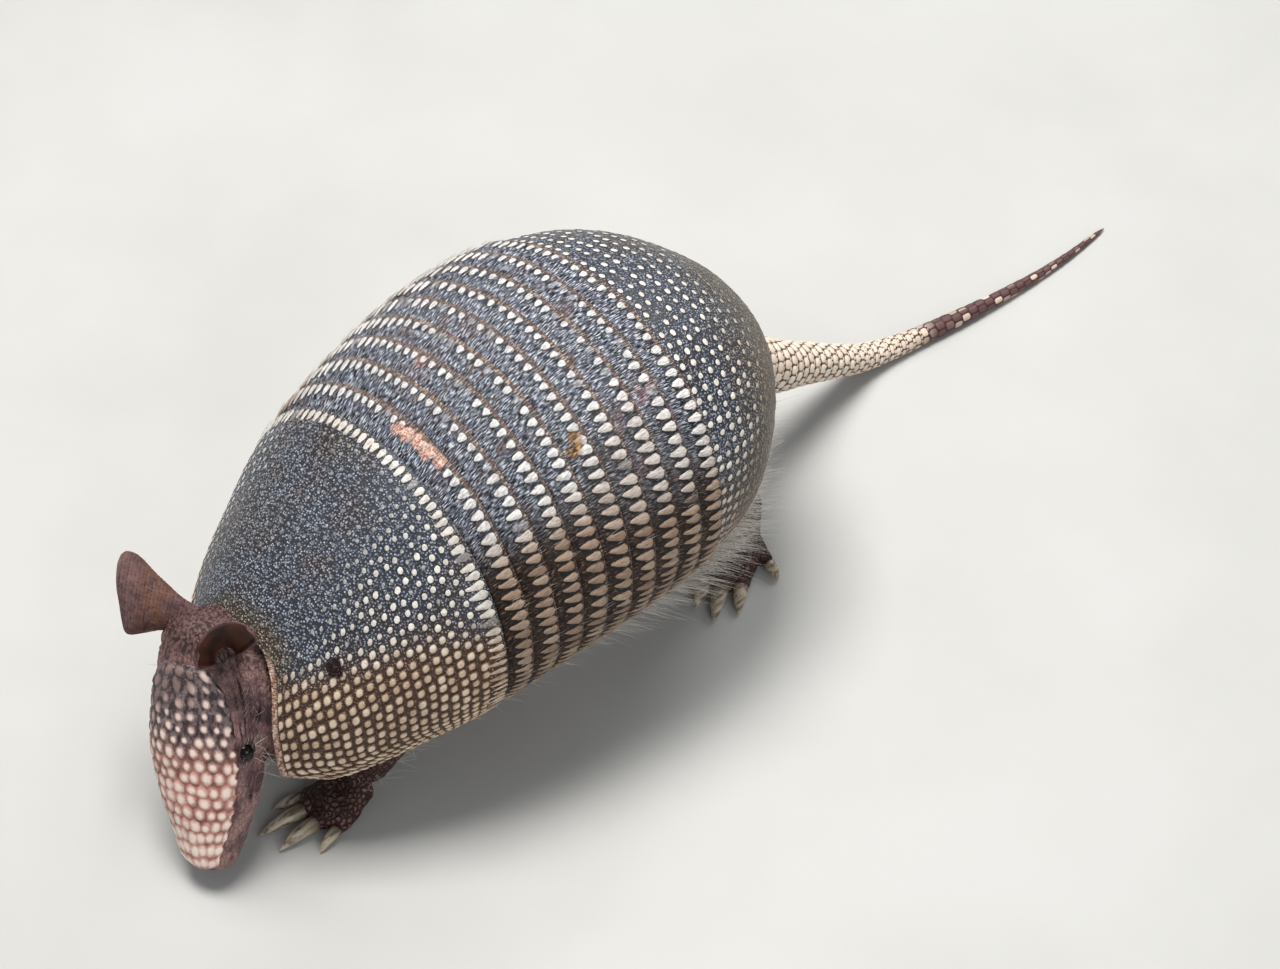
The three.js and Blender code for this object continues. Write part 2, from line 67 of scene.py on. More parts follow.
BODY = table("at y z pitch half rise belly wrap", [
    (0.0, -142, 49, 10, 37, 45, 38, 103),
    (0.1, -123, 60, 6, 54, 57, 44, 108),
    (0.22, -95, 74, 2, 70, 70, 50, 113),
    (0.36, -59, 88, -2, 83, 81, 56, 118),
    (0.5, -16, 98, -5, 91, 88, 60, 121),
    (0.64, 28, 104, -7, 96, 88, 62, 123),
    (0.76, 67, 105, -10, 95, 82, 60, 121),
    (0.86, 100, 102, -16, 85, 71, 54, 117),
    (0.94, 127, 97, -25, 63, 52, 42, 111),
    (1.0, 147, 91, -35, 37, 31, 28, 105),
])
HEAD_AT = (-14.6, -147, 107.3)
HEAD_TURN, HEAD_DOWN, HEAD_ROLL = 49, 62.5, -32.5
HEAD = table("at half top under", [
    (-6, 15, 10, 19),
    (0, 17, 13, 22),
    (14, 20.5, 16, 25),
    (32, 23.5, 17.5, 27),
    (50, 25.5, 17.5, 28),
    (64, 24.5, 16, 28),
    (80, 21, 14, 25.5),
    (95, 16, 11.5, 20),
    (106, 12.5, 9.5, 13.5),
    (112, 9.5, 7.5, 10),
])
HEAD_SHIELD = table("at reach", [(12, 38), (24, 56), (44, 60), (66, 60), (88, 56), (106, 44)])
EYE_AT, EYE_ANGLE, EYE_RADIUS, EYE_SUNK = 51, 79, 4.2, 2.4
EAR_LENGTH, EAR_WALL, EAR_BOW = 40, 1.3, 0.13
EARS = {
    "ear_left": dict(
        base=(15, -1, 6), lies=(0.48, 0.55, 0.69), faces=(0.54, -0.79, 0.25), curl=1.6, skew=7,
    ),
    "ear_right": dict(
        base=(-5, 5, -4), lies=(-0.65, 0.52, 0.55), faces=(-0.76, -0.51, -0.41), curl=0.9, skew=-6,
    ),
}
EAR = table("at arc fold", [
    (0, 14, 125), (0.2, 14, 105), (0.42, 16.5, 80), (0.65, 19, 60),
    (0.83, 21, 50), (0.95, 19, 42), (1, 15, 34),
])
NECK = [(0, -112, 66, 44, 42), (-1, -124, 72, 36, 37), (-4, -134, 80, 28, 31), (-7, -143, 87, 22, 25)]
FRONT_LEG = [(36, -88, 66, 17, 23), (39, -87, 48, 15, 19), (38, -94, 32, 11.5, 13.5), (34, -101, 17, 9.5, 10)]
HIND_LEG = [(44, 96, 78, 24, 34), (50, 92, 58, 20, 28), (45, 113, 38, 13.5, 17), (33, 138, 18, 10, 10.5)]
LEGS = {
    "front_left": dict(side=1, rows=FRONT_LEG, forward=0, sole=(33.5, -103), out=-6),
    "front_right": dict(side=-1, rows=FRONT_LEG, forward=-26, sole=(35.5, -77), out=4),
    "hind_left": dict(side=1, rows=HIND_LEG, forward=0, sole=(27, 149), out=34),
    "hind_right": dict(side=-1, rows=HIND_LEG, forward=44, sole=(31, 105), out=18),
}
FRONT_PAD = [(0, 6, 10, 8.5, 9), (0, -4, 8.5, 11, 9.5), (0, -14, 7, 13, 8), (0, -20, 6, 11.5, 6.5)]
HIND_PAD = [
    (0, 5, 9, 7.5, 10), (0, -8, 9, 9.5, 10.5), (0, -24, 8, 12.5, 9), (0, -38, 6.5, 14.5, 7.5),
    (0, -45, 5.5, 13, 6),
]
# Toes: where each leaves the pad, its length, thickness, turn outwards and claw length.
FRONT_TOES = [
    (-9.5, -13, 11, 4.4, -16, 13), (-4.2, -17, 11, 5.4, -5, 22), (3.4, -17, 10.5, 5.2, 4, 20),
    (9.3, -11, 11, 4.2, 20, 12),
]
HIND_TOES = [
    (-11, -30, 13, 4.4, -20, 9), (-7.5, -42, 11, 5.2, -6, 13), (0, -44, 12.5, 5.6, 0, 15),
    (7.5, -41, 10.5, 5.2, 7, 13), (10.5, -23, 12.5, 4.2, 42, 8.5),
]
TAIL = [
    (0, 150, 90, 19), (0, 170, 71, 15.8), (0, 192, 53, 12.8), (-2, 213, 39, 10.6), (-3, 236, 24, 8.6),
    (-4, 260, 10, 7), (-1, 284, 5.1, 5.6), (5, 320, 4, 4.4), (9, 358, 2.9, 3.2), (10, 392, 1.9, 2.2),
    (8, 424, 1.1, 1.4),
]


def along(rows, key, t):
    """A smooth curve through a table's rows, read for one of its columns at t."""
    at, value = rows["at"], rows[key]
    t = np.asarray(t, float)
    i = np.clip(np.searchsorted(at, t, side="right") - 1, 0, len(at) - 2)
    before, after = np.maximum(i - 1, 0), np.minimum(i + 2, len(at) - 1)
    width = at[i + 1] - at[i]
    k = (t - at[i]) / width
    slope_a = (value[i + 1] - value[before]) / (at[i + 1] - at[before]) * width
    slope_b = (value[after] - value[i]) / (at[after] - at[i]) * width
    held = (2 * k**3 - 3 * k**2 + 1) * value[i] + (3 * k**2 - 2 * k**3) * value[i + 1]
    return held + (k**3 - 2 * k**2 + k) * slope_a + (k**3 - k**2) * slope_b


def smooth(x, low, high):
    t = np.clip((np.asarray(x, float) - low) / (high - low), 0, 1)
    return t * t * (3 - 2 * t)


def lerp(a, b, k):
    return a + (b - a) * k


def hump(x, middle, width):
    """1 at the middle, falling away on both sides."""
    return np.exp(-(((x - middle) / width) ** 2))


def unit(vectors):
    return vectors / np.maximum(np.linalg.norm(vectors, axis=-1, keepdims=True), 1e-9)


def stack(*parts):
    return np.stack(np.broadcast_arrays(*parts), axis=-1)


def placed(points):
    """Points in mm in the animal's frame, as metres in the frame of the solids."""
    return (points + np.array([0, ALONG_SHIFT, 0])) * MM


def unplaced(points):
    """The inverse of placed()."""
    return points / MM - np.array([0, ALONG_SHIFT, 0])


def speck(i, j, salt=0):
    """A number from 0 to 1 that looks random, and is the same each time for i and j."""
    x = np.sin(i * 127.1 + j * 311.7 + salt * 74.7) * 43758.5453
    return x - np.floor(x)


def arch_point(s, angle):
    """A point of the trunk's arch: s runs from 0 at the front to 1, and the angle is 0 at the top."""
    pitch = np.radians(along(BODY, "pitch", s))
    above = np.abs(angle) < math.pi / 2
    up = np.cos(angle) * np.where(above, along(BODY, "rise", s), along(BODY, "belly", s))
    side = np.sin(angle) * along(BODY, "half", s)
    return stack(side, along(BODY, "y", s) - up * np.sin(pitch), along(BODY, "z", s) + up * np.cos(pitch))


def arch_normal(s, angle):
    backwards = arch_point(s + 0.004, angle) - arch_point(s - 0.004, angle)
    leftwards = arch_point(s, angle + 0.01) - arch_point(s, angle - 0.01)
    return unit(np.cross(leftwards, backwards))


def shell_point(s, angle, lift):
    """The point lift mm out from the shell's arch."""
    return arch_point(s, angle) + arch_normal(s, angle) * np.asarray(lift)[..., None]


def wrap(s):
    return np.radians(along(BODY, "wrap", s))


def front_edge(across):
    side = np.abs(across)
    nape = NAPE_NOTCH * (1 - smooth(side, 0.1, 0.6))
    return nape - CORNER_REACH * smooth(side, 0.5, 0.8) + CORNER_CUT * smooth(side, 0.82, 1.02)


def rump_edge(across):
    return lerp(1, RUMP_CORNER, smooth(np.abs(across), 0.45, 1))


SPINE_STEPS = np.linspace(-0.02, 1.02, 105)
ARC_STEPS = np.linspace(0, 1, 61)
ARCS = arch_point(SPINE_STEPS[:, None], ARC_STEPS[None] * wrap(SPINE_STEPS)[:, None])
HALF_GIRTHS = np.linalg.norm(np.diff(ARCS, axis=1), axis=2).sum(1)


def half_girth(s):
    """The length round the shell from its top to its lower edge."""
    return np.interp(s, SPINE_STEPS, HALF_GIRTHS)


def spine_stretch(s, across):
    """Millimetres along the body for each unit of s."""
    angle = across * wrap(s)
    return np.linalg.norm(arch_point(s + 0.005, angle) - arch_point(s - 0.005, angle), axis=-1) / 0.01


# The head's own frame: the nose points along -y, its left is +x and its top is +z.
HEAD_MATRIX = np.array(
    Matrix.Rotation(math.radians(HEAD_TURN), 3, "Z")
    @ Matrix.Rotation(math.radians(HEAD_DOWN), 3, "X")
    @ Matrix.Rotation(math.radians(HEAD_ROLL), 3, "Y")
)


def from_head(points):
    return points @ HEAD_MATRIX.T + np.array(HEAD_AT)


def to_head(points):
    return (points - np.array(HEAD_AT)) @ HEAD_MATRIX


def head_point(at, angle, lift=0):
    """A point of the head in its own frame, at mm towards the nose and angle round from the top."""
    over = np.where(np.abs(angle) < math.pi / 2, along(HEAD, "top", at), along(HEAD, "under", at))
    side = np.sin(angle) * (along(HEAD, "half", at) + lift)
    return stack(side, -np.asarray(at, float), np.cos(angle) * (over + lift))


# ------------------------------------------------------------------ making meshes
def read(items, key, width=3, kind=float):
    """A property of every item of a mesh, in rows of width numbers, or in one row where width is 1."""
    flat = np.zeros(len(items) * width, kind)
    items.foreach_get(key, flat)
    return flat.reshape(-1, width) if width > 1 else flat


def mesh_of(work, name):
    mesh = bpy.data.meshes.new(name)
    work.to_mesh(mesh)
    work.free()
    return mesh


def linked(name, data):
    """A new object in the scene."""
    made = bpy.data.objects.new(name, data)
    bpy.context.scene.collection.objects.link(made)
    return made


def set_metres(mesh, points):
    mesh.vertices.foreach_set("co", points.astype(np.float32).ravel())


def set_points(mesh, points):
    """Moves the vertices to points, in mm, with the faces turned outwards."""
    set_metres(mesh, placed(points))
    mesh.update()
    turn_outwards(mesh)


def turn_outwards(mesh):
    """Flips a closed mesh whose volume comes out negative."""
    mesh.calc_loop_triangles()
    corners = read(mesh.loop_triangles, "vertices", kind=int)
    a, b, c = read(mesh.vertices, "co")[corners].transpose(1, 0, 2)
    if np.einsum("ij,ij->i", a, np.cross(b, c)).sum() < 0:
        mesh.flip_normals()


class Piece:
    """A sheet of cols by rows faces, laid out by a function of its two positions."""

    def __init__(self, name, cols, rows, join_cols=False, join_rows=False):
        self.name, self.cols, self.rows = name, cols, rows
        work = bmesh.new()
        bmesh.ops.create_grid(work, x_segments=cols, y_segments=rows, size=1.0)
        if join_cols or join_rows:
            axis = 0 if join_cols else 1
            other = 1 - axis
            first = {round(v.co[other], 5): v for v in work.verts if v.co[axis] < -0.99999}
            last = [v for v in work.verts if v.co[axis] > 0.99999]
            bmesh.ops.weld_verts(work, targetmap={v: first[round(v.co[other], 5)] for v in last})
            rim = [edge for edge in work.edges if edge.is_boundary]
            bmesh.ops.holes_fill(work, edges=rim, sides=0)
            bmesh.ops.recalc_face_normals(work, faces=work.faces)
        self.mesh = mesh_of(work, name)
        spots = read(self.mesh.vertices, "co")
        self.col = np.rint((spots[:, 0] + 1) / 2 * cols)
        self.row = np.rint((spots[:, 1] + 1) / 2 * rows)

    def shape(self, points):
        set_points(self.mesh, points)
        return self


def attribute(mesh, name, values):
    layer = mesh.attributes.new(name, "FLOAT", "POINT")
    layer.data.foreach_set("value", np.asarray(values, np.float32).ravel())


def uv_map(mesh, name, spots):
    layer = mesh.uv_layers.new(name=name)
    layer.data.foreach_set("uv", np.stack(spots, 1).astype(np.float32).ravel())


def plan_map(mesh, name, u, v):
    """A UV map from one pair of numbers for each vertex."""
    corner = read(mesh.loops, "vertex_index", 1, int)
    uv_map(mesh, name, [u[corner], v[corner]])


def finish(mesh, material, nodes=()):
    """The piece's object, riding on the body, with its material and the nodes it stands for."""
    mesh.polygons.foreach_set("use_smooth", np.ones(len(mesh.polygons), bool))
    mesh.materials.clear()
    mesh.materials.append(material)
    mesh.update()
    piece = linked(mesh.name, mesh)
    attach(piece, "root")
    if nodes:
        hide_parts(*nodes)
    return piece


# ------------------------------------------------------------------ material kit
def ink(code):
    """A linear colour from six hex digits."""
    shares = [int(code[i:i + 2], 16) / 255 for i in (0, 2, 4)]
    return tuple(c / 12.92 if c <= 0.04045 else ((c + 0.055) / 1.055) ** 2.4 for c in shares)


class Graph:
    """A node tree with short ways to add nodes, mixes and maths. A colour is given by its hex code."""

    def __init__(self, tree):
        self.tree = tree

    def add(self, kind, inputs=None, **settings):
        node = self.tree.nodes.new("ShaderNode" + kind)
        for key, value in settings.items():
            setattr(node, key, value)
        for key, value in (inputs or {}).items():
            self.feed(node.inputs[key], value)
        return node

    def feed(self, socket, value):
        if isinstance(value, bpy.types.NodeSocket):
            self.tree.links.new(value, socket)
        elif isinstance(value, str):
            socket.default_value = (*ink(value), 1)
        else:
            socket.default_value = value

    def mix(self, share, a, b, blend="MIX"):
        node = self.add("Mix", data_type="RGBA", blend_type=blend)
        for index, value in ((0, share), (6, a), (7, b)):
            self.feed(node.inputs[index], value)
        return node.outputs[2]

    def math(self, kind, a, b=0.0, clamp=False):
        node = self.add("Math", operation=kind, use_clamp=clamp)
        self.feed(node.inputs[0], a)
        self.feed(node.inputs[1], b)
        return node.outputs[0]

    def times(self, a, b):
        return self.math("MULTIPLY", a, b)

    def plus(self, a, b):
        return self.math("ADD", a, b)

    def minus(self, a, b):
        return self.math("SUBTRACT", a, b)

    def ragged(self, value, noise, amount):
        """The value moved up and down by amount times the noise."""
        return self.plus(value, self.times(self.minus(noise, 0.5), amount))

    def span(self, value, low, high, to_low=0.0, to_high=1.0):
        node = self.add("MapRange", interpolation_type="SMOOTHSTEP")
        for index, number in enumerate((value, low, high, to_low, to_high)):
            self.feed(node.inputs[index], number)
        return node.outputs[0]

    def value(self, name):
        return self.add("Attribute", attribute_name=name).outputs["Fac"]

    def place(self, scale, uv=None):
        """Object coordinates, or a UV map's, scaled by one number or by three."""
        spread = scale if isinstance(scale, tuple) else (scale,) * 3
        source = self.add("UVMap", uv_map=uv).outputs[0] if uv else self.add("TexCoord").outputs["Object"]
        return self.add("Mapping", {"Vector": source, "Scale": spread}).outputs[0]

    def noise(self, scale, detail=3.0, rough=0.55, uv=None):
        inputs = {"Vector": self.place(scale, uv), "Scale": 1.0, "Detail": detail, "Roughness": rough}
        return self.add("TexNoise", inputs).outputs["Fac"]

    def cell_walls(self, scale):
        """How far each point is from the nearest wall between random cells."""
        inputs = {"Vector": self.place(scale), "Scale": 1.0}
        return self.add("TexVoronoi", inputs, feature="DISTANCE_TO_EDGE").outputs["Distance"]

    def bump(self, height, distance, strength=1.0, under=None):
        inputs = {"Height": height, "Distance": distance, "Strength": strength}
        if under is not None:
            inputs["Normal"] = under
        return self.add("Bump", inputs).outputs[0]


def material(name, build, sockets):
    """A Principled material. build(graph) gives its colour and roughness, and its normal if it has one."""
    made = bpy.data.materials.new(name)
    made.use_nodes = True
    made.node_tree.nodes.clear()
    graph = Graph(made.node_tree)
    shader = graph.add("BsdfPrincipled", sockets)
    output = graph.add("OutputMaterial")
    graph.tree.links.new(shader.outputs[0], output.inputs[0])
    for key, made_socket in zip(("Base Color", "Roughness", "Normal"), build(graph)):
        graph.feed(shader.inputs[key], made_socket)
    return made


def effect(name, inputs, outputs, build):
    """A shader node group. build(graph, entry) gives the sockets of its outputs, in order."""
    tree = bpy.data.node_groups.new(name, "ShaderNodeTree")
    for key, kind, start in inputs:
        socket = tree.interface.new_socket(name=key, in_out="INPUT", socket_type="NodeSocket" + kind)
        socket.default_value = start
    for key, kind in outputs:
        tree.interface.new_socket(name=key, in_out="OUTPUT", socket_type="NodeSocket" + kind)
    entry, leave = tree.nodes.new("NodeGroupInput"), tree.nodes.new("NodeGroupOutput")
    for socket, made in zip(leave.inputs, build(Graph(tree), entry.outputs)):
        tree.links.new(made, socket)
    return tree


def use(graph, group, inputs):
    node = graph.add("Group", node_tree=group)
    for key, value in inputs.items():
        graph.feed(node.inputs[key], value)
    return node.outputs


# ------------------------------------------------------------------ colours, as hex codes
BARK, UMBER, TAN, CREAM = "2a1813", "54382b", "98795c", "cbb395"
ROSE, MAUVE, OXBLOOD, AMBER = "a8655a", "5a3f3e", "3a1d1a", "8a4f28"
HIDE_PALE, TAIL_CREAM, TAIL_PLUM = "8f6f69", "d3bca9", "5b4140"
HORN, HORN_DARK = "b8a890", "5a4a3c"


def granule_graph(graph, entry):
    """Small raised grains: how high each point of its grain is, and a tone for each grain."""
    scale = entry["Grains per metre"]
    place = graph.add("VectorMath", {0: graph.add("TexCoord").outputs["Object"]}, operation="SCALE")
    graph.feed(place.inputs["Scale"], scale)
    cells = graph.add("TexVoronoi", {"Vector": place.outputs[0], "Scale": 1.0, "Randomness": 0.8})
    height = graph.span(cells.outputs["Distance"], 0.62, 0.12)
    tone = graph.add("SeparateColor", {"Color": cells.outputs["Color"]}).outputs[0]
    return height, tone


GRANULES = effect(
    "Granules",
    [("Grains per metre", "Float", 760.0)],
    [("Height", "Float"), ("Tone", "Float")],
    granule_graph,
)


def stain_graph(graph, entry):
    """Old stains and worn places: a colour with soft blotches of another laid over it."""
    blotch = graph.noise(38.0, detail=5.0, rough=0.62)
    fine = graph.noise(210.0, detail=3.0)
    mask = graph.times(graph.span(blotch, 0.5, 0.68), graph.span(fine, 0.35, 0.7))
    mask = graph.math("MULTIPLY", mask, entry["Amount"], clamp=True)
    return graph.mix(mask, entry["Colour"], entry["Stain"]), mask


STAIN = effect(
    "Stains",
    [("Colour", "Color", (0.5, 0.5, 0.5, 1)), ("Stain", "Color", (*ink(AMBER), 1)), ("Amount", "Float", 0.5)],
    [("Colour", "Color"), ("Mask", "Float")],
    stain_graph,
)


def scute_colours(graph):
    """Shields: pale round scutes with dark grains between them, and a tan pavement low down."""
    grains = use(graph, GRANULES, {"Grains per metre": 780.0})
    dot, seam, tone, dirt = graph.value("dot"), graph.value("seam"), graph.value("tone"), graph.value("dirt")
    tan, pale, rim, brown = graph.value("tan"), graph.value("pale"), graph.value("rim"), graph.value("brown")
    ragged = graph.ragged(dot, graph.noise(900.0), 0.5)
    soft = graph.minus(0.9, graph.times(tan, 0.2))
    disc = graph.span(ragged, 1.12, soft)
    # Painted highlight: grain tops are painted lighter and some a pale blue-grey glint; the blue-grey cast
    # stands for the sky's sheen.
    grain_highlight = graph.times(graph.span(grains[1], 0.3, 0.9), graph.span(grains[0], 0.25, 0.85))
    dark = graph.mix(grains[0], "2c2f36", "7b818f")
    dark = graph.mix(grain_highlight, dark, "a5acba")
    dust = graph.span(graph.noise(45.0, detail=5.0), 0.46, 0.7)
    dark = graph.mix(graph.times(dust, 0.45), dark, graph.mix(grains[0], BARK, "8a7563"))
    # The same painted highlight on the grains of the brown front part.
    olive = graph.mix(grain_highlight, graph.mix(grains[0], "3a3025", "736754"), "a09378")
    dark = graph.mix(brown, dark, olive)
    low = graph.mix(grains[0], "402c23", graph.mix(graph.span(grains[1], 0.2, 0.9), "846754", "bf9f88"))
    ground = graph.mix(tan, dark, low)
    scute = graph.mix(tan, graph.mix(brown, "dad6ce", CREAM), graph.mix(tone, "b8a189", "dfccb6"))
    # Painted shade: in the tan pavement each domed scute darkens from its middle towards its edge.
    scute = graph.mix(graph.times(graph.span(dot, 0.55, 1.0), tan), scute, "98785f")
    scute = graph.mix(graph.times(graph.span(graph.noise(420.0, detail=4.0), 0.4, 0.75), 0.5), scute, TAN)
    shade = graph.times(disc, pale)
    colour = graph.mix(shade, ground, scute)
    # Painted shade: a dark ring round the foot of each raised scute, fainter and browner in the tan pavement.
    ring = graph.times(graph.span(ragged, 0.9, 1.12), graph.span(ragged, 1.6, 1.25))
    ring = graph.times(ring, graph.times(pale, 0.75))
    colour = graph.mix(ring, colour, graph.mix(tan, "0a0a0d", "4d382b"))
    groove = graph.times(graph.span(seam, 0.4, 0.05), tan)
    colour = graph.mix(graph.times(groove, 0.75), colour, "35211a")
    edging = graph.mix(graph.span(grains[1], 0.3, 0.9), "a37a64", "d9bfae")
    colour = graph.mix(graph.times(rim, 0.9), colour, edging)
    colour = graph.mix(dirt, colour, "1e0806")
    stained = use(graph, STAIN, {"Colour": colour, "Stain": AMBER, "Amount": graph.value("stain")})
    rough = graph.span(graph.noise(320.0, detail=4.0), 0.2, 0.8, 0.3, 0.5)
    flat = graph.minus(1.0, graph.times(disc, 0.85))
    grain = graph.bump(graph.times(grains[0], flat), 0.0006, 1.0)
    return stained[0], rough, graph.bump(graph.noise(2600.0, detail=3.0), 0.00012, 0.5, grain)


def band_colours(graph):
    """Bands: streaked dark skin in front, a row of pale drops behind, and a thin brown rim."""
    drop, tone, tan, rim, pale = (graph.value(name) for name in ("drop", "tone", "tan", "rim", "pale"))
    frost, dirt, deep = graph.value("frost"), graph.value("dirt"), graph.value("deep")
    streaks = graph.noise((0.95, 0.2, 1.0), detail=4.0, rough=0.7, uv="Plan")
    thin = graph.noise((2.1, 0.32, 1.0), detail=2.0, uv="Plan")
    grit = graph.noise(1100.0, detail=2.0)
    ragged = graph.ragged(drop, streaks, 0.7)
    ragged = graph.ragged(ragged, grit, 0.4)
    inside = graph.times(graph.span(ragged, 1.1, 0.8), pale)
    # Painted reflection: the blue-grey of the lighter streaks on the dark front skin stands for the sky's
    # sheen.
    front = graph.mix(graph.span(streaks, 0.36, 0.62), "181a20", "6a7080")
    # Painted highlight: pale streaks for the fine hairs and the glints on them, strongest on top of the
    # bands.
    front = graph.mix(graph.times(graph.span(thin, 0.54, 0.64), frost), front, "ccd0d6")
    # Painted shade: near-black lines in the grooves between the streaks.
    front = graph.mix(graph.span(thin, 0.48, 0.42), front, "060608")
    front = graph.mix(graph.times(graph.span(graph.noise(80.0, detail=4.0), 0.52, 0.75), 0.5), front, UMBER)
    low = graph.mix(graph.span(streaks, 0.38, 0.65), "100a08", "3a2418")
    low = graph.mix(graph.times(graph.span(thin, 0.57, 0.66), 0.75), low, "93745a")
    # Painted shade: near-black lines in the grooves between the streaks on the flank.
    low = graph.mix(graph.span(thin, 0.48, 0.42), low, "050302")
    ground = graph.mix(tan, front, low)
    scute = graph.mix(tan, "ece9e6", graph.mix(tone, "927762", "b79f89"))
    scute = graph.mix(graph.times(graph.span(thin, 0.52, 0.4), 0.45), scute, "7a6250")
    shadow = graph.times(graph.span(ragged, 1.0, 1.15), graph.span(ragged, 3.2, 2.0))
    ground = graph.mix(graph.times(graph.times(shadow, pale), 0.92), ground, "050404")
    colour = graph.mix(inside, ground, scute)
    edging = graph.mix(graph.span(thin, 0.5, 0.66), graph.mix(tan, "4d3a33", "47281c"), "b39c88")
    colour = graph.mix(graph.times(rim, 0.92), colour, edging)
    # Painted shade: the front of each band, tucked under the rim before it, is darkened to near black.
    colour = graph.mix(deep, colour, "070504")
    worn = graph.times(dirt, graph.span(thin, 0.42, 0.56, 0.25, 1.0))
    colour = graph.mix(worn, colour, graph.mix(graph.span(thin, 0.5, 0.62), "5c3a17", "b98b4a"))
    grazed = graph.times(graph.value("scrape"), graph.span(thin, 0.4, 0.55, 0.35, 1.0))
    colour = graph.mix(grazed, colour, graph.mix(graph.span(grit, 0.4, 0.6), "a86c58", "e6c3b0"))
    stained = use(graph, STAIN, {"Colour": colour, "Stain": ROSE, "Amount": graph.value("stain")})
    rough = graph.span(streaks, 0.2, 0.8, 0.3, 0.5)
    lines = graph.bump(graph.plus(streaks, graph.times(thin, 0.8)), 0.001, 0.7)
    return stained[0], rough, graph.bump(grit, 0.00025, 0.5, lines)


def head_shield_colours(graph):
    """The head's plate: soft-edged oval scales, pale on a rosy ground low down, dim on slate above."""
    scale, tone, nose, show = (graph.value(name) for name in ("dot", "tone", "nose", "show"))
    grains = use(graph, GRANULES, {"Grains per metre": 900.0})
    mottle = graph.noise(160.0, detail=4.0)
    streak = graph.noise((500.0, 500.0, 120.0), detail=3.0)
    ragged = graph.ragged(scale, graph.noise(600.0), 0.6)
    inside = graph.span(ragged, 1.3, 0.6)
    slate = graph.mix(graph.span(streak, 0.4, 0.65), "352a2c", "776667")
    red = graph.mix(graph.span(mottle, 0.35, 0.65), "86534a", "b98377")
    ground = graph.mix(nose, slate, red)
    middle = graph.mix(graph.span(ragged, 0.9, 0.3), graph.mix(tone, "c99a8c", "d9b1a3"), "eedbcf")
    dim = graph.mix(graph.span(ragged, 0.95, 0.35), graph.mix(tone, "8f7470", "b0938a"), "ead3c6")
    high = graph.mix(tone, "6b5753", "8a716a")
    plate = graph.mix(show, high, graph.mix(nose, dim, middle))
    colour = graph.mix(inside, ground, plate)
    stained = use(graph, STAIN, {"Colour": colour, "Stain": MAUVE, "Amount": 0.45})
    rough = graph.span(mottle, 0.2, 0.8, 0.36, 0.58)
    grain = graph.bump(graph.times(grains[0], graph.minus(1.0, inside)), 0.0003, 0.8)
    return stained[0], rough, graph.bump(graph.noise(1500.0, detail=4.0), 0.0002, 0.5, grain)


def skin_colours(graph):
    """Bare leathery skin, with small scales on the legs and feet and fine creases elsewhere."""
    face, neck, leg, belly, lid = (graph.value(name) for name in ("face", "neck", "leg", "belly", "lid"))
    blotch = graph.noise(70.0, detail=5.0, rough=0.6)
    crease = graph.cell_walls((430.0, 430.0, 250.0))
    scale = graph.cell_walls(380.0)
    dome = graph.span(scale, 0.02, 0.3)
    colour = graph.mix(blotch, MAUVE, HIDE_PALE)
    colour = graph.mix(belly, colour, graph.mix(blotch, HIDE_PALE, TAN))
    cheek = graph.mix(graph.span(blotch, 0.4, 0.65), "614649", "a07c77")
    # Painted shade: the face's skin is darkened in the dips of its creases and wrinkles.
    cheek = graph.mix(graph.span(graph.value("fold"), 0.4, 0.16), cheek, "2c181b")
    colour = graph.mix(face, colour, cheek)
    hairy = graph.span(graph.noise((700.0, 700.0, 140.0), detail=3.0), 0.4, 0.6)
    folded = graph.mix(hairy, graph.mix(blotch, "5a4140", "835f5b"), graph.mix(blotch, "8a6662", "b8938b"))
    # Painted shade: the neck's skin is darkened in the dips between its folds.
    folded = graph.mix(graph.span(graph.value("fold"), 0.46, 0.24), folded, "241214")
    colour = graph.mix(neck, colour, folded)
    crown = graph.mix(hairy, "2f2223", graph.mix(blotch, "563d3a", "755651"))
    colour = graph.mix(graph.value("crown"), colour, crown)
    scaly = graph.mix(dome, BARK, graph.mix(graph.span(blotch, 0.4, 0.7), UMBER, HIDE_PALE))
    colour = graph.mix(leg, colour, scaly)
    colour = graph.mix(lid, colour, graph.mix(blotch, "2e1f22", "5e4648"))
    # Painted shade: fine dark lines in the creases of the skin, fainter on the neck.
    cracks = graph.span(crease, 0.09, 0.0)
    cracks = graph.times(cracks, graph.minus(0.55, graph.times(neck, 0.45)))
    colour = graph.mix(cracks, colour, "2a1414")
    # Painted shade: the nostrils, the mouth's groove and the openings of the eyes are darkened.
    colour = graph.mix(graph.value("hollow"), colour, BARK)
    rough = graph.span(blotch, 0.2, 0.8, 0.46, 0.7)
    lines = graph.bump(graph.span(crease, 0.0, 0.25), 0.0004, 0.6)
    plates = graph.bump(graph.times(dome, leg), 0.0009, 0.8, lines)
    return colour, rough, graph.bump(graph.noise(1400.0, detail=4.0), 0.0002, 0.5, plates)


def ear_colours(graph):
    """Ears: dark pebbled leather, warm where light comes through, and a brown lining darkened as painted
    shade inside the cup.
    """
    pebble, tone, glow, inner = (graph.value(name) for name in ("dot", "tone", "glow", "inner"))
    blotch = graph.noise(90.0, detail=5.0)
    leather = graph.mix(graph.span(blotch, 0.3, 0.7), "3b2527", "60443f")
    leather = graph.mix(graph.times(glow, graph.span(blotch, 0.25, 0.7, 0.0, 0.8)), leather, "5c3822")
    leather = graph.mix(graph.times(tone, 0.3), leather, "7c5f5c")
    # Painted shade: the brown lining inside the cup is darkened to near black.
    leather = graph.mix(inner, leather, graph.mix(graph.span(blotch, 0.35, 0.65), "200a04", "55270c"))
    colour = graph.mix(graph.span(pebble, 0.75, 1.1), leather, "241213")
    rough = graph.span(blotch, 0.2, 0.8, 0.42, 0.66)
    return colour, rough, graph.bump(graph.noise(1900.0, detail=4.0), 0.0002, 0.6)


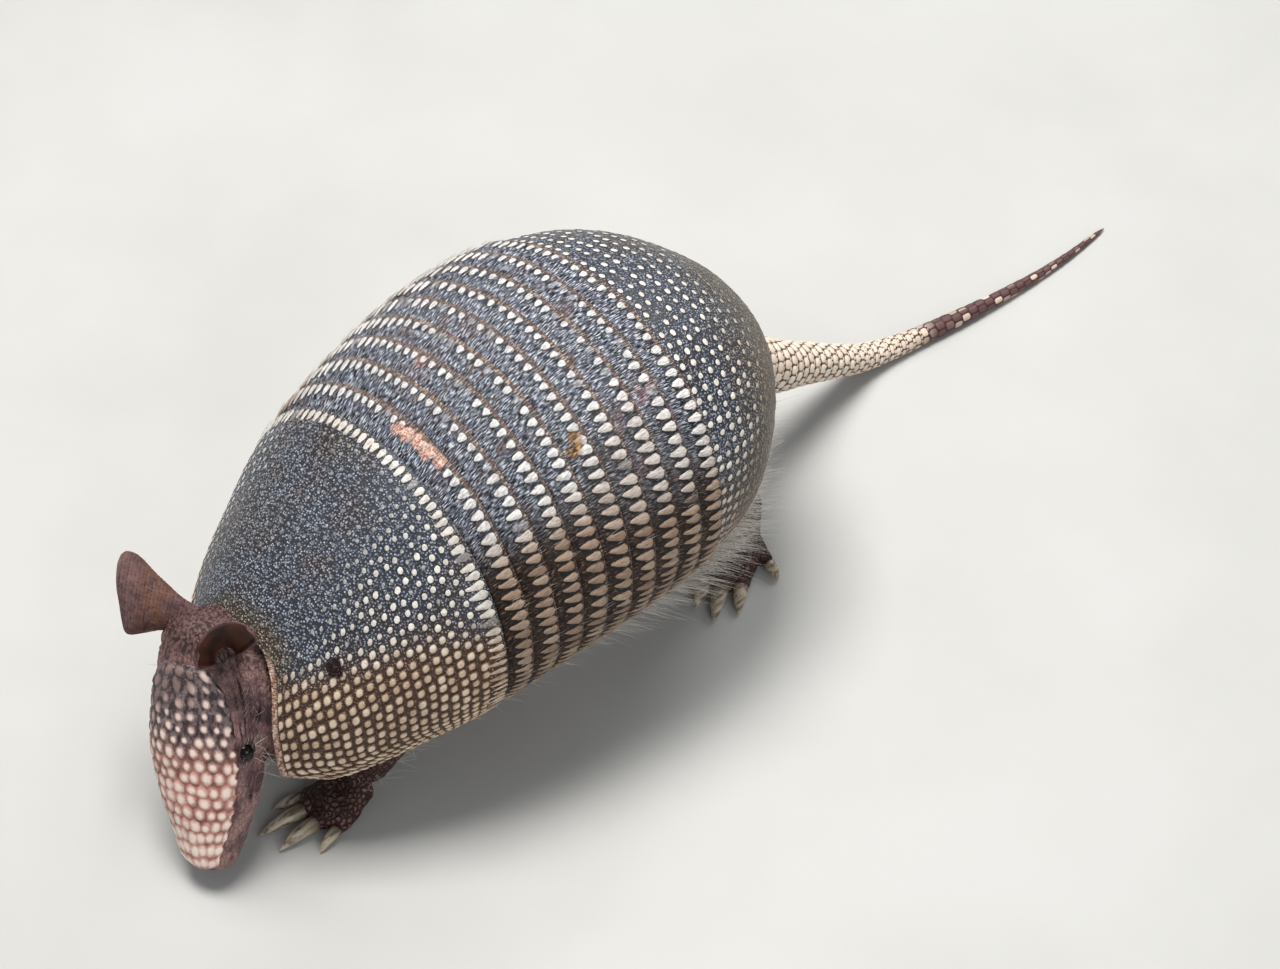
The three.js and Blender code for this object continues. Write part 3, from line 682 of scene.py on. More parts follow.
def tail_colours(graph):
    """The tail: cream scutes with dark red seams at its root, and plum ones towards its tip."""
    edge, tone, plum, groove = (graph.value(name) for name in ("dot", "tone", "plum", "groove"))
    blotch = graph.noise(120.0, detail=5.0)
    cell = graph.mix(graph.times(blotch, 0.45), "efe2d0", "c99e88")
    cell = graph.mix(graph.times(tone, 0.3), cell, TAN)
    cell = graph.mix(plum, cell, graph.mix(graph.span(tone, 0.7, 0.95), TAIL_PLUM, TAIL_CREAM))
    colour = graph.mix(graph.span(edge, 0.78, 1.05), cell, OXBLOOD)
    colour = graph.mix(groove, colour, graph.mix(tone, BARK, TAIL_PLUM))
    rough = graph.span(blotch, 0.2, 0.8, 0.4, 0.62)
    return colour, rough, graph.bump(graph.noise(1500.0, detail=4.0), 0.0002, 0.5)


def claw_colours(graph):
    lines = graph.noise((600.0, 60.0, 600.0), detail=4.0)
    root = graph.value("root")
    colour = graph.mix(graph.span(lines, 0.4, 0.7), HORN, HORN_DARK)
    colour = graph.mix(graph.times(root, 0.7), colour, OXBLOOD)
    rough = graph.span(lines, 0.2, 0.8, 0.3, 0.5)
    return colour, rough, graph.bump(lines, 0.0003, 0.5)


def eye_colours(graph):
    ring = graph.noise(500.0, detail=3.0)
    colour = graph.mix(graph.span(ring, 0.35, 0.7), "030303", "0d0806")
    return colour, graph.span(ring, 0.2, 0.8, 0.05, 0.12)


def hair_colours(graph):
    tip, tone, dark = graph.value("tip"), graph.value("tone"), graph.value("dark")
    pale = graph.mix(tone, "a79c8d", "e6e0d6")
    pale = graph.mix(tip, pale, "f0ece4")
    colour = graph.mix(dark, pale, graph.mix(tone, "191613", "6b5b4c"))
    colour = graph.mix(graph.times(graph.noise(300.0), 0.3), colour, TAN)
    return colour, graph.span(tone, 0.0, 1.0, 0.4, 0.6)


SHIELD_PLATE = material("Shield plates", scute_colours, {"IOR": 1.36})
BAND_PLATE = material("Band plates", band_colours, {"IOR": 1.34})
HEAD_PLATE = material("Head plates", head_shield_colours, {"IOR": 1.4})
HIDE = material("Bare skin", skin_colours, {"IOR": 1.36})
EAR_LEATHER = material("Ear leather", ear_colours, {"IOR": 1.36})
TAIL_PLATE = material("Tail plates", tail_colours, {"IOR": 1.42})
CLAW_HORN = material("Claw horn", claw_colours, {"IOR": 1.54})
EYE_GLOSS = material("Wet eye", eye_colours, {"IOR": 1.34})
HAIR = material("Sparse hair", hair_colours, {"IOR": 1.55})


# ------------------------------------------------------------------ the shell
def bake_map(piece):
    """The map for painting the piece: its rows and columns, laid out flat."""
    mesh = piece.mesh
    corner = read(mesh.loops, "vertex_index", 1, int)
    start, total = (read(mesh.polygons, key, 1, int) for key in ("loop_start", "loop_total"))
    face = np.repeat(np.arange(len(start)), total)
    spots = []
    for values, count in ((piece.col, piece.cols), (piece.row, piece.rows)):
        at = values[corner]
        least = np.minimum.reduceat(at, start)[face]
        most = np.maximum.reduceat(at, start)[face]
        wraps = (most - least > count / 2) & (total[face] == 4)
        at = np.where(wraps & (at < count / 2), at + count, at)
        spots.append(0.01 + 0.98 * at / (count + 1))
    cap = total[face] > 4
    spots[0] = np.where(cap, 0.002, spots[0])
    uv_map(mesh, "OFBake", spots)


def painted(piece, material, slot, nodes, **masks):
    """The sheet's object, with its masks as attributes and its map for painting."""
    for key, values in masks.items():
        attribute(piece.mesh, key, values)
    bake_map(piece)
    return finish(piece.mesh, material, nodes)


def plate_rows(outside, inside):
    """For each row round a plate: its share from front to rear, and its depth from 0 to 1."""
    rim = np.array([0.2, 0.5, 0.8])
    bulge = 0.004 * np.sin(np.pi * rim)
    share = np.concatenate([np.linspace(0, 1, outside), 1 + bulge, np.linspace(1, 0, inside), -bulge])
    depth = np.concatenate([np.zeros(outside), rim, np.ones(inside), rim[::-1]])
    return share, depth


def scutes(j, across, row_mm, half_mm, pitch, salt, row_girth, square=2.0, stagger=0.5, tail=1.0, long=1.0):
    """Centres on staggered rows: for each point the distances to the nearest two, in mm.

    j counts rows, across runs from -1 to 1, and row_girth(J) is the half girth of row J. The
    scutes are round where square is 2, long times as long as wide, and tail draws out their front ends.
    """
    best = np.full(j.shape, 1e9)
    second = np.full(j.shape, 1e9)
    tone = np.zeros(j.shape)
    for step in (-1, 0, 1):
        row = np.floor(j) + step
        count = np.maximum(np.round(2 * row_girth(row) / pitch), 4)
        column = (across + 1) / 2 * count + stagger * (row % 2)
        for side in (-1, 0, 1):
            cell = np.floor(column) + side
            x = (cell + 0.5 + 0.2 * (speck(row, cell, salt) - 0.5) - column) / count * 2 * half_mm
            y = (row + 0.5 + 0.2 * (speck(row, cell, salt + 1) - 0.5) - j) * row_mm
            y = np.where(y > 0, y / tail, y) / long
            far = (np.abs(x) ** square + np.abs(y) ** square) ** (1 / square)
            nearer = far < best
            second = np.where(nearer, best, np.minimum(second, far))
            best = np.where(nearer, far, best)
            tone = np.where(nearer, speck(row, cell, salt + 2), tone)
    return best, second, tone


# Marks on the shell, by centre and size: a healed wound on the left shoulder, worn places, and a graze
# on the first bands.
SCAR_AT, SCAR_SIZE = (42, -117.7, 108.3), 4.6
AMBER_SPOTS = [((57, 11.5, 171.4), 4.4), ((60, 8.5, 169), 3.2), ((33, -20, 184), 2.5)]
SCRAPES = [
    ((2, -42, 175), 3.2), ((8, -41.5, 174.8), 3.6), ((14, -41, 174), 3.8), ((21, -41, 173), 4),
    ((27, -40.5, 171.5), 3),
]
SHIELD_DROPS, BAND_DROPS = 78, 66  # how many pale drops stand in a row
OFF_DROP = 4.0  # what drops() gives for a point that is nowhere near one
FRONT_RIM = 3.6  # how much of the first shield's front edge is rim
SHIELD_COLS, BAND_COLS, HEAD_COLS = 470, 560, 104  # faces from one side of a plate to the other


def blot(points, centre, size, seed):
    """1 inside a ragged blot on the surface, and 0 outside."""
    far = np.linalg.norm(points - np.array(centre), axis=1) / size
    return 1 - smooth(far + 0.35 * ripple(points, size * 1.4, seed), 0.75, 1.05)


def ripple(points, wavelength, seed, count=6):
    """Smooth waves that run every way, from about -1 to 1."""
    draw = np.random.default_rng(seed)
    total = 0
    for _ in range(count):
        heading = unit(draw.normal(size=3)) * (2 * np.pi / wavelength) * draw.uniform(0.7, 1.4)
        total = total + np.sin(points @ heading + draw.uniform(0, 6.3))
    return total / count * 1.6


def drops(across, back, half_mm, index):
    """The row of drops along a rear edge: how far each point is across one, from 0 to 1 and on to 4."""
    on_shield = index < 0
    count = SHIELD_DROPS if on_shield else BAND_DROPS
    salt = 40 + index
    drift = 0.25 * np.sin(across * 9 + index) + 0.5 * (index % 2)
    column = (across + 1) / 2 * count + drift + 0.06 * back * np.sign(across) / 5.6
    cell = np.floor(column)
    chance = [speck(cell, index, salt + n) for n in range(6)]
    side = np.abs(across)
    low = np.maximum(smooth(side, 0.12, 0.5), 0.5 * on_shield)
    x = (column - cell - 0.5 + 0.2 * (chance[0] - 0.5)) * 2 * half_mm / count
    length = lerp(4.0, 8.4, low) * lerp(0.86, 1.1, chance[2])
    broad = (1.4, 1.8) if on_shield else (1.65, 2.35)
    width = lerp(*broad, low) * lerp(0.9, 1.08, chance[3]) * lerp(1, 0.94, smooth(side, 0.7, 1))
    y = (back - lerp(1.7, 0.7, low) - 0.4 * (chance[5] - 0.5)) / length
    taper = np.where(
        y < 0.3,
        np.sqrt(np.clip(1 - ((0.3 - y) / 0.32) ** 2, 0, 1)),
        np.clip(1 - (y - 0.3) / 0.78, 0, 1) ** lerp(0.45, 0.62, low),
    )
    spread = np.abs(x + 0.12 * back * low) / np.maximum(width * taper, 0.05)
    spread = np.where((y < -0.02) | (y > 1.08), OFF_DROP, spread)
    bright = lerp(0.8, 1.0, low) * lerp(0.8, 1, chance[4])
    bright = bright * np.where(chance[5] < lerp(0.12, 0.02, low), 0.3, 1)
    return np.minimum(spread, OFF_DROP), chance[1], bright, length


def tan_line(s, across):
    """How far round the shell the tan pavement of the first shield starts: lower on its right."""
    return 0.35 + 0.73 * (s - 0.118) + 0.16 * smooth(-across, 0, 0.3)


def shield(name, node, front, rear, pitch, row_pitch, salt, is_front):
    """One of the two shields, from its front edge to its rear edge, with its scutes in relief."""
    cols = SHIELD_COLS
    rows, depth_of = plate_rows(outside=172, inside=7)
    piece = Piece(name, cols, len(rows), join_rows=True)
    across = piece.col / cols * 2 - 1
    across = np.sign(across) * (1 - (1 - np.abs(across)) ** 1.02)
    share, depth = rows[piece.row.astype(int)], depth_of[piece.row.astype(int)]
    start, stop = front(across), rear(across)
    s = lerp(start, stop, share)
    angle = across * wrap(s)
    side = np.abs(across)
    base = shell_point(s, angle, np.zeros(len(s)))
    waver = ripple(base, 55, salt + 3)
    length = (rear(np.zeros(1)) - front(np.full(1, 0.75)))[0] * SPINE_LENGTH
    row_count = round(length / row_pitch)

    def row_girth(row):
        first, last = front(np.full(row.shape, 0.6)), rear(np.full(row.shape, 0.3))
        return half_girth(lerp(first, last, (row + 0.5) / row_count))

    long_mm = spine_stretch(s, across) * (stop - start)
    half_mm = half_girth(s)
    if is_front:
        above = tan_line(s, across) - side + 0.03 * waver  # how far above the tan pavement
        tan = 1 - smooth(above, -0.15, 0.05)
        clear = 1 - smooth(above - 0.03 - 1.2 * np.clip(s - 0.06, 0, 1), -0.2, 0.14)
        pale = np.clip(np.maximum(clear, 0.8 * smooth(share, 0.84, 1.0)), 0.2, 1)
        corner = smooth(side, 0.45, 0.75) * (1 - smooth(share, 0.3, 0.5))
    else:
        tan = 0.4 * smooth(side + 0.1 * waver, 0.5, 0.8)
        fade = smooth(share + 0.4 * smooth(side, 0.35, 0.8) + 0.08 * waver, 0.3, 0.85)
        pale = 1.0 - 0.88 * fade
        corner = np.zeros(len(s))
    near, second, tone = scutes(
        share * row_count - 0.4, across, long_mm / row_count, half_mm, pitch, salt,
        row_girth, square=lerp(2, 2.7, tan), stagger=lerp(0.5, 0.12, corner),
        tail=1.0 if is_front else lerp(1.1, 1.8, smooth(side, 0.2, 0.6)),
    )
    pale = pale * lerp(np.where(tone < 0.12, 0.4, lerp(0.75, 1, tone)), 1, tan)
    radius = lerp(lerp(0.8, 1.4, pale), 2.0, tan) * lerp(0.9, 1.08, tone) * lerp(1, 0.85, corner * (1 - tan))
    seam = (second - near) / 2
    dot = near / radius
    rim = np.zeros(len(s))
    if is_front:
        ahead = share * long_mm
        block = np.abs(np.mod(side * half_mm / 5.2, 1) - 0.5)
        notches = lerp(1, 0.5, smooth(block, 0.38, 0.48))
        rim = (1 - smooth(ahead, 2.6, 3.3)) * notches * smooth(side, 0.12, 0.3)
        on_rim = ahead < FRONT_RIM
        dot, near = np.where(on_rim, 3.0, dot), np.where(on_rim, 9.0, near)
        back = (1 - share) * long_mm
        drop, drop_tone, drop_pale, drop_mm = drops(across, back, half_mm, -1)
        at_rear = 1 - smooth(back, drop_mm - 0.5, drop_mm + 1.0)
        on_drop = back < drop_mm + 0.6
        drop_radius = 1.9
        dot, near = np.where(on_drop, drop, dot), np.where(on_drop, drop * drop_radius, near)
        radius = np.where(on_drop, drop_radius, radius)
        tone, pale = lerp(tone, drop_tone, at_rear), lerp(pale, drop_pale, at_rear)
        seam = np.maximum(seam, at_rear)
    else:
        below = (0.955 - side) * half_mm
        edge_pitch, edge_radius = 5.8, 2.4
        across_scute = np.abs(np.mod(share * long_mm / edge_pitch, 1) - 0.5) * edge_pitch
        marginal = (np.abs(across_scute / edge_radius) ** 3 + np.abs(below / 3.2) ** 3) ** (1 / 3)
        lowest = smooth(side, 0.925, 0.935)
        on_margin = lowest > 0.5
        dot, near = np.where(on_margin, marginal, dot), np.where(on_margin, marginal * edge_radius, near)
        radius = np.where(on_margin, edge_radius, radius)
        pale, tan = lerp(pale, 0.9, lowest), lerp(tan, 0.8, lowest)
    dome = np.clip(1 - (near / (radius * 1.12)) ** lerp(2, 3, tan), 0, 1)
    relief = lerp(0.42, 0.95, tan) * dome ** lerp(0.5, 0.7, tan) * lerp(0.35, 1, pale) + 0.45 * rim
    edge = 1 - smooth(side, 0.985, 1.0)
    raised = BAND_STEP * smooth(share, 0.6, 1) if is_front else 0.35
    thickness = lerp(0.9, PLATE, edge) + raised
    lift = raised + relief * edge * (1 - smooth(depth, 0, 0.3)) - depth * thickness + 0.3 * waver
    lift = lift - 0.5 * (1 - edge)
    piece.shape(shell_point(s, angle, lift))
    stain = 0.06 + 0.4 * smooth(ripple(base, 90, salt + 9), 0.45, 0.95)
    if is_front:
        brown = np.maximum(0.2 * smooth(waver, 0.3, 0.9), 0.75 * (1 - smooth(share * long_mm, 4, 20)))
    else:
        brown = smooth(share + 0.6 * side + 0.1 * waver, 0.3, 1.0)
    dirt = blot(base, SCAR_AT, SCAR_SIZE, 31) if is_front else np.zeros(len(s))
    return painted(
        piece, SHIELD_PLATE, "shell", (node,), dot=dot, seam=seam, tone=tone, tan=tan, pale=pale, rim=rim,
        stain=stain, brown=brown, dirt=dirt,
    )


def band(index):
    """One band: front skin, a row of drops, and a raised rear rim over the next band."""
    cols = BAND_COLS
    rows, depth_of = plate_rows(outside=23, inside=4)
    piece = Piece(f"band_{index + 1}_plates", cols, len(rows), join_rows=True)
    across = piece.col / cols * 2 - 1
    k = piece.row.astype(int)
    share, depth = rows[k], depth_of[k]
    tuck = 0.10  # how much of the front hides below the rim before it
    start = lerp(BANDS_FROM, BANDS_TO, index / BAND_COUNT)
    step = (BANDS_TO - BANDS_FROM) / BAND_COUNT
    waves = ripple(stack(across * 170, index * 31.0, 0), 40, 11)
    waves_behind = ripple(stack(across * 170, (index + 1) * 31.0, 0), 40, 11)
    begin = start - tuck * step + 0.0012 * waves
    end = start + step * 1.03 + 0.0012 * waves_behind
    s = lerp(begin, end, share)
    angle = across * wrap(s)
    along_mm = spine_stretch(s, across) * (end - begin)
    back = (1 - share) * along_mm  # mm forward of the rear edge
    side_mm = across * half_girth(s)
    side = np.abs(across)
    tan = smooth(side + 0.08 * ripple(stack(side_mm, index * 15.0, 0), 60, 12), 0.3, 0.56)
    drop, tone, pale, length = drops(across, back, half_girth(s), index)
    rim_mm = lerp(2.0, 0.6, smooth(side, 0.15, 0.5))
    rim = 1 - smooth(back, rim_mm - 0.35, rim_mm + 0.35)
    swell = np.sqrt(np.clip(1 - drop**2, 0, 1)) * 0.55
    furrow = 0.22 * np.sin(side_mm * 4.3 + 1.3 * np.sin(side_mm * 0.7) + back * 0.5)
    furrow = furrow * smooth(back, length - 1, length + 2)
    edge = 1 - smooth(side, 0.985, 1.0)
    roll = lerp(0.5, 1.3, smooth(side, 0.2, 0.6))
    raised = lerp(-1.6, BAND_STEP + 0.3, share) + roll * np.sin(np.pi * np.clip(share * 1.04, 0, 1)) ** 0.8
    relief = (swell + furrow) * edge * (1 - smooth(depth, 0, 0.3)) * smooth(share, 0.1, 0.2)
    lift = raised + relief - depth * (lerp(0.9, 2.4, edge) + 0.6 * share)
    base_waver = ripple(arch_point(s, angle), 55, 3)
    piece.shape(shell_point(s, angle, lift + 0.25 * base_waver - 0.4 * (1 - edge)))
    blotch = smooth(ripple(stack(side_mm, index * 23.0, 4.0), 45, 21), 0.5, 0.95)
    stain = 0.06 + 0.4 * blotch * (1 - 0.6 * tan)
    # How strongly the pale streaks for hairs and their painted glints show: most on top, where the sheen is.
    frost = lerp(0.95, 0.25, smooth(side, 0.3, 0.6))
    # Where painted shade darkens the front of the band under the rim before it, more on the flank.
    deep = (1 - smooth(share, 0.1, 0.24)) * lerp(0.5, 0.95, smooth(side, 0.15, 0.45))
    points = shell_point(s, angle, 0 * s)
    dirt = np.maximum.reduce([blot(points, spot, size, 33) for spot, size in AMBER_SPOTS])
    scrape = np.maximum.reduce([blot(points, spot, size, 35) for spot, size in SCRAPES])
    plan_map(piece.mesh, "Plan", side_mm, back + index * 20)
    return painted(
        piece, BAND_PLATE, "shell", (f"band_{index + 1}",), drop=drop, tone=tone, tan=tan, pale=pale, rim=rim,
        stain=stain, frost=frost, deep=deep, dirt=dirt, scrape=scrape,
    )


def level(s):
    """An edge at one place along the body all the way round."""
    return lambda across: np.full(np.shape(across), s)


REAR_OF_FRONT, FRONT_OF_REAR = level(BANDS_FROM + 0.001), level(BANDS_TO - 0.004)
shield("scapular_plates", "scapular_shield", front_edge, REAR_OF_FRONT, 4.9, 5.1, 101, True)
for number in range(BAND_COUNT):
    band(number)
shield("pelvic_plates", "pelvic_shield", FRONT_OF_REAR, rump_edge, 5.2, 5.4, 201, False)


# ------------------------------------------------------------------ tubes along smooth lines
def spline(points, t):
    """A centripetal Catmull-Rom curve through the points, read at t from 0 to 1."""
    points = np.array(points, float)
    count = len(points)
    ends = np.concatenate([[2 * points[0] - points[1]], points, [2 * points[-1] - points[-2]]])
    t = np.asarray(t, float) * (count - 1)
    i = np.clip(np.floor(t).astype(int), 0, count - 2)
    k = (t - i)[:, None]
    p0, p1, p2, p3 = (ends[i + n] for n in range(4))
    pairs = ((p0, p1), (p1, p2), (p2, p3))
    d0, d1, d2 = (np.maximum(np.linalg.norm(b - a, axis=1), 1e-6)[:, None] ** 0.5 for a, b in pairs)
    a = ((p1 - p0) / d0 - (p2 - p0) / (d0 + d1) + (p2 - p1) / d1) * d1
    b = ((p2 - p1) / d1 - (p3 - p1) / (d1 + d2) + (p3 - p2) / d2) * d1
    return p1 + a * k + (-3 * p1 + 3 * p2 - 2 * a - b) * k**2 + (2 * p1 - 2 * p2 + a + b) * k**3


def tube_point(rows, at, turn, grow=0.0):
    """A point of the tube through rows of (x, y, z, wide, tall), at a row number and a turn from its top."""
    rows = [(*row, row[3]) if len(row) == 4 else row for row in rows]
    last = len(rows) - 1
    line = [row[:3] for row in rows]
    t = np.clip(at / last, 0, 1)
    middle = spline(line, t)
    ahead = unit(spline(line, np.minimum(t + 1e-4, 1)) - spline(line, np.maximum(t - 1e-4, 0)))
    across = unit(np.array([1.0, 0, 0]) - ahead * ahead[:, :1])
    over = np.cross(ahead, across)
    widths = table("at wide tall", [(n, row[3], row[4]) for n, row in enumerate(rows)])
    wide = (along(widths, "wide", at) + grow)[:, None]
    tall = (along(widths, "tall", at) + grow)[:, None]
    return middle + across * np.sin(turn)[:, None] * wide + over * np.cos(turn)[:, None] * tall


def bulb(at, low, high, start, end):
    """How much a tube narrows near its two ends, to close in a rounded tip."""
    close = np.ones(np.shape(at))
    for depth, reach in ((at - low, start), (high - at, end)):
        if reach:
            close = close * np.sqrt(np.clip(1 - (1 - np.clip(depth / reach, 0, 1)) ** 2, 0, 1))
    return np.maximum(close, 0.03)


def to_side(rows, side, forward):
    return [(row[0] * side, row[1] - forward, *row[2:]) for row in rows]


def from_foot(points, leg):
    turn = leg["side"] * math.radians(leg["out"])
    spin = np.array([[math.cos(turn), -math.sin(turn), 0], [math.sin(turn), math.cos(turn), 0], [0, 0, 1]])
    return points @ spin.T + np.array([leg["side"] * leg["sole"][0], leg["sole"][1], 0])


def toe_spot(toe, side, reach):
    """The x and y of a point on the toe's line, reach mm from where it leaves the pad."""
    turn = math.radians(toe[4])
    return side * (toe[0] + math.sin(turn) * reach), toe[1] - math.cos(turn) * reach


def toe_rows(toe, side):
    length, thick = toe[2:4]
    return [(
        *toe_spot(toe, side, length * k),
        thick * lerp(1.05, 0.8, k), thick * lerp(1, 0.86, k), thick * lerp(1.1, 0.82, k),
    ) for k in (-0.4, 0, 0.5, 1)]


def claw_rows(toe, side):
    length, thick, claw = toe[2], toe[3], toe[5]
    rows = []
    for k in (-0.16, 0, 0.33, 0.66, 1):
        reach = length + GAP + claw * k
        width = thick * 0.62 * (1 - max(k, 0) ** 2) + 0.4
        height = thick * lerp(0.9, 0.2, max(k, 0) ** 2)
        rows.append((*toe_spot(toe, side, reach), height, width, width * 0.9))
    return rows


def tube(name, rows, cols, steps, start, end, place=lambda points: points, grow=0.0):
    """A closed tube, narrowed to rounded ends over start and end rows of its table."""
    piece = Piece(name, cols, steps, join_cols=True)
    last = len(rows) - 1
    ease = piece.row / steps
    at = last * ease
    points = tube_point(rows, at, piece.col / cols * 2 * np.pi, grow)
    middle = tube_point(rows, at, np.zeros(len(at)), -1e-6)
    opposite = tube_point(rows, at, np.full(len(at), np.pi), -1e-6)
    middle = (middle + opposite) / 2
    points = middle + (points - middle) * bulb(at, 0, last, start, end)[:, None]
    piece.at = at
    return piece.shape(place(points))


# ------------------------------------------------------------------ the skin
SKIN_INSET = PLATE + GAP + 0.6  # how far the skin lies below the shell
VOXEL = 1.7
HEAD_FROM, HEAD_TO = -6, 112  # the first and last section of the head
SKULL_BACK, SNOUT_TIP = -9.0, 113.4  # where its rounded ends close
LID_FROM = 0.42  # how far up the flank from the plates' lower edge the hidden flesh reaches


def trunk_form():
    """The belly and both ends of the trunk, with the part below the middle of the shell left flat."""
    cols, steps = 120, 70
    piece = Piece("trunk_form", cols, steps, join_cols=True)
    k = piece.row / steps
    s = lerp(0.1, 1.0, np.clip((k - 0.04) / 0.92, 0, 1))
    angle = (piece.col / cols * 2 - 1) * np.pi
    edge = wrap(s)
    depth = lerp(11, 3, smooth(s, 0.1, 0.4))
    tuck = depth * smooth(np.abs(angle), edge - 0.15, edge + 0.5)
    flat = smooth(s, 0.26, 0.4) * (1 - smooth(s, 0.78, 0.9))
    points = shell_point(s, angle, -SKIN_INSET - tuck)
    lid_angle = edge - LID_FROM
    held = np.clip(angle, -lid_angle, lid_angle)
    on_rim = shell_point(s, lid_angle, np.full(len(s), -SKIN_INSET))
    share = held / lid_angle
    lid = np.stack([on_rim[:, 0] * share, on_rim[:, 1], on_rim[:, 2]], 1)
    points = np.where((np.abs(angle) < lid_angle)[:, None], lerp(points, lid, flat[:, None]), points)
    middle = shell_point(s, np.zeros(len(s)), np.full(len(s), -40.0))
    close = bulb(k, 0, 1, 0.06, 0.06)[:, None]
    front = np.array([0, -6.0, -2]) * np.clip(1 - k / 0.04, 0, 1)[:, None]
    back = np.array([0, 6.0, -5]) * np.clip((k - 0.96) / 0.04, 0, 1)[:, None]
    return piece.shape(middle + (points - middle) * close + front + back)


def head_form():
    """The head as a plain closed form."""
    cols, steps = 72, 90
    piece = Piece("head_form", cols, steps, join_cols=True)
    at = lerp(SKULL_BACK, SNOUT_TIP, piece.row / steps)
    held = np.clip(at, HEAD_FROM, HEAD_TO)
    ring = head_point(held, (piece.col / cols * 2 - 1) * np.pi)
    close = bulb(at, SKULL_BACK, SNOUT_TIP, 6, 3.2)[:, None]
    middle = stack(0, -at, 0)
    return piece.shape(from_head(middle + (ring - np.stack([0 * at, -held, 0 * at], 1)) * close))


def flesh_forms():
    forms = [trunk_form(), head_form(), tube("neck_form", NECK, 60, 30, 0, 0)]
    for name, leg in LEGS.items():
        rows = to_side(leg["rows"], leg["side"], leg["forward"])
        forms.append(tube(f"leg_form_{name}", rows, 40, 40, 0.25, 0.2))
        is_front = leg["rows"] is FRONT_LEG
        place = lambda points, leg=leg: from_foot(points, leg)
        forms.append(tube(f"pad_form_{name}", FRONT_PAD if is_front else HIND_PAD, 32, 30, 0.5, 0.35, place))
        for n, toe in enumerate(FRONT_TOES if is_front else HIND_TOES):
            rows = toe_rows(toe, leg["side"])
            forms.append(tube(f"toe_form_{name}_{n}", rows, 24, 24, 0.3, 0.35, place, 0.15))
    return [form.mesh for form in forms]


def joined(meshes, name):
    work = bmesh.new()
    for mesh in meshes:
        work.from_mesh(mesh)
        bpy.data.meshes.remove(mesh)
    return mesh_of(work, name)


def through_modifiers(mesh, *settings):
    """The mesh that the modifiers make of this one."""
    holder = linked("working", mesh)
    for kind, values in settings:
        modifier = holder.modifiers.new(kind, kind)
        for key, value in values.items():
            setattr(modifier, key, value)
    graph = bpy.context.evaluated_depsgraph_get()
    made = bpy.data.meshes.new_from_object(holder.evaluated_get(graph))
    bpy.data.objects.remove(holder)
    return made


EYE_TURN = math.radians(EYE_ANGLE)
SLIT_LONG, SLIT_HIGH = 3.9, 3.05  # half the opening between the lids
SOCKET_RADIUS = 2.9  # where the skin goes inside the opening, hidden by the eyeball
LID_REACH = 12  # how far from an eye its lids may move the skin
NOSTRIL_AT, NOSTRIL_SIZE, NOSTRIL_DEPTH = (4.2, -113.0, 0.6), 1.9, 3.2


def eye_socket(side):
    """Where an eye's middle is and which way it looks, in the head's frame."""
    spot = head_point(np.array([EYE_AT]), np.array([side * EYE_TURN]), -EYE_SUNK)[0]
    return dict(spot=spot, out=unit(np.array([side * math.sin(EYE_TURN), -0.06, math.cos(EYE_TURN) * 1.1])))


EYES = {"eye_left": eye_socket(1), "eye_right": eye_socket(-1)}


def carve_eyes(points):
    """Opens the lids over each eye, in the head's frame, and returns masks for the lids and the opening."""
    lids, hollow = np.zeros(len(points)), np.zeros(len(points))
    for eye in EYES.values():
        offset = points - eye["spot"]
        far = np.linalg.norm(offset, axis=1)
        forward = unit(np.cross(np.cross(eye["out"], np.array([0, -1.0, 0])), eye["out"]))
        upward = np.cross(eye["out"], forward)
        upward = upward * np.sign(upward[2])
        along_lid, over_lid, out = offset @ forward, offset @ upward, offset @ eye["out"]
        slit = np.hypot(along_lid / SLIT_LONG, (over_lid - 0.1) / SLIT_HIGH)
        near = (far < LID_REACH) & (out > 0)
        ridge = EYE_RADIUS + 0.55 + 0.75 * hump(slit, 1.28, 0.3) + 0.35 * hump(slit, 2.2, 0.22)
        ridge = ridge - 0.45 * hump(slit, 1.8, 0.2)
        reach = np.where(far < ridge, ridge, lerp(ridge, far, smooth(far, ridge, ridge + 3.0)))
        blend = (1 - smooth(slit, 2.2, 3.4)) * near
        target = np.where(slit < 1, SOCKET_RADIUS, lerp(far, reach, blend))
        moved = eye["spot"] + offset / np.maximum(far, 1e-6)[:, None] * target[:, None]
        points = np.where((near & (blend > 0))[:, None], moved, points)
        lids = np.maximum(lids, np.where(near, (1 - smooth(slit, 1.25, 1.7)) * (slit > 0.9), 0))
        hollow = np.maximum(hollow, np.where(near & (slit < 0.98), 1.0, 0))
    return points, lids, hollow


def nearest(points, line):
    """How far each point is from the nearest point of the line."""
    best = np.full(len(points), 1e9)
    for spot in line:
        best = np.minimum(best, ((points - spot) ** 2).sum(1))
    return np.sqrt(best)


def smoothed(work, times):
    axes = dict(use_axis_x=True, use_axis_y=True, use_axis_z=True)
    for _ in range(times):
        bmesh.ops.smooth_vert(work, verts=work.verts, factor=0.5, **axes)


def finer(work, chosen):
    """Cuts in two each edge whose ends are both chosen, by their place in the head's frame."""
    work.verts.index_update()
    keep = chosen(to_head(unplaced(np.array([vertex.co for vertex in work.verts]))))
    edges = [edge for edge in work.edges if all(keep[vertex.index] for vertex in edge.verts)]
    bmesh.ops.subdivide_edges(work, edges=edges, cuts=1, use_grid_fill=True)


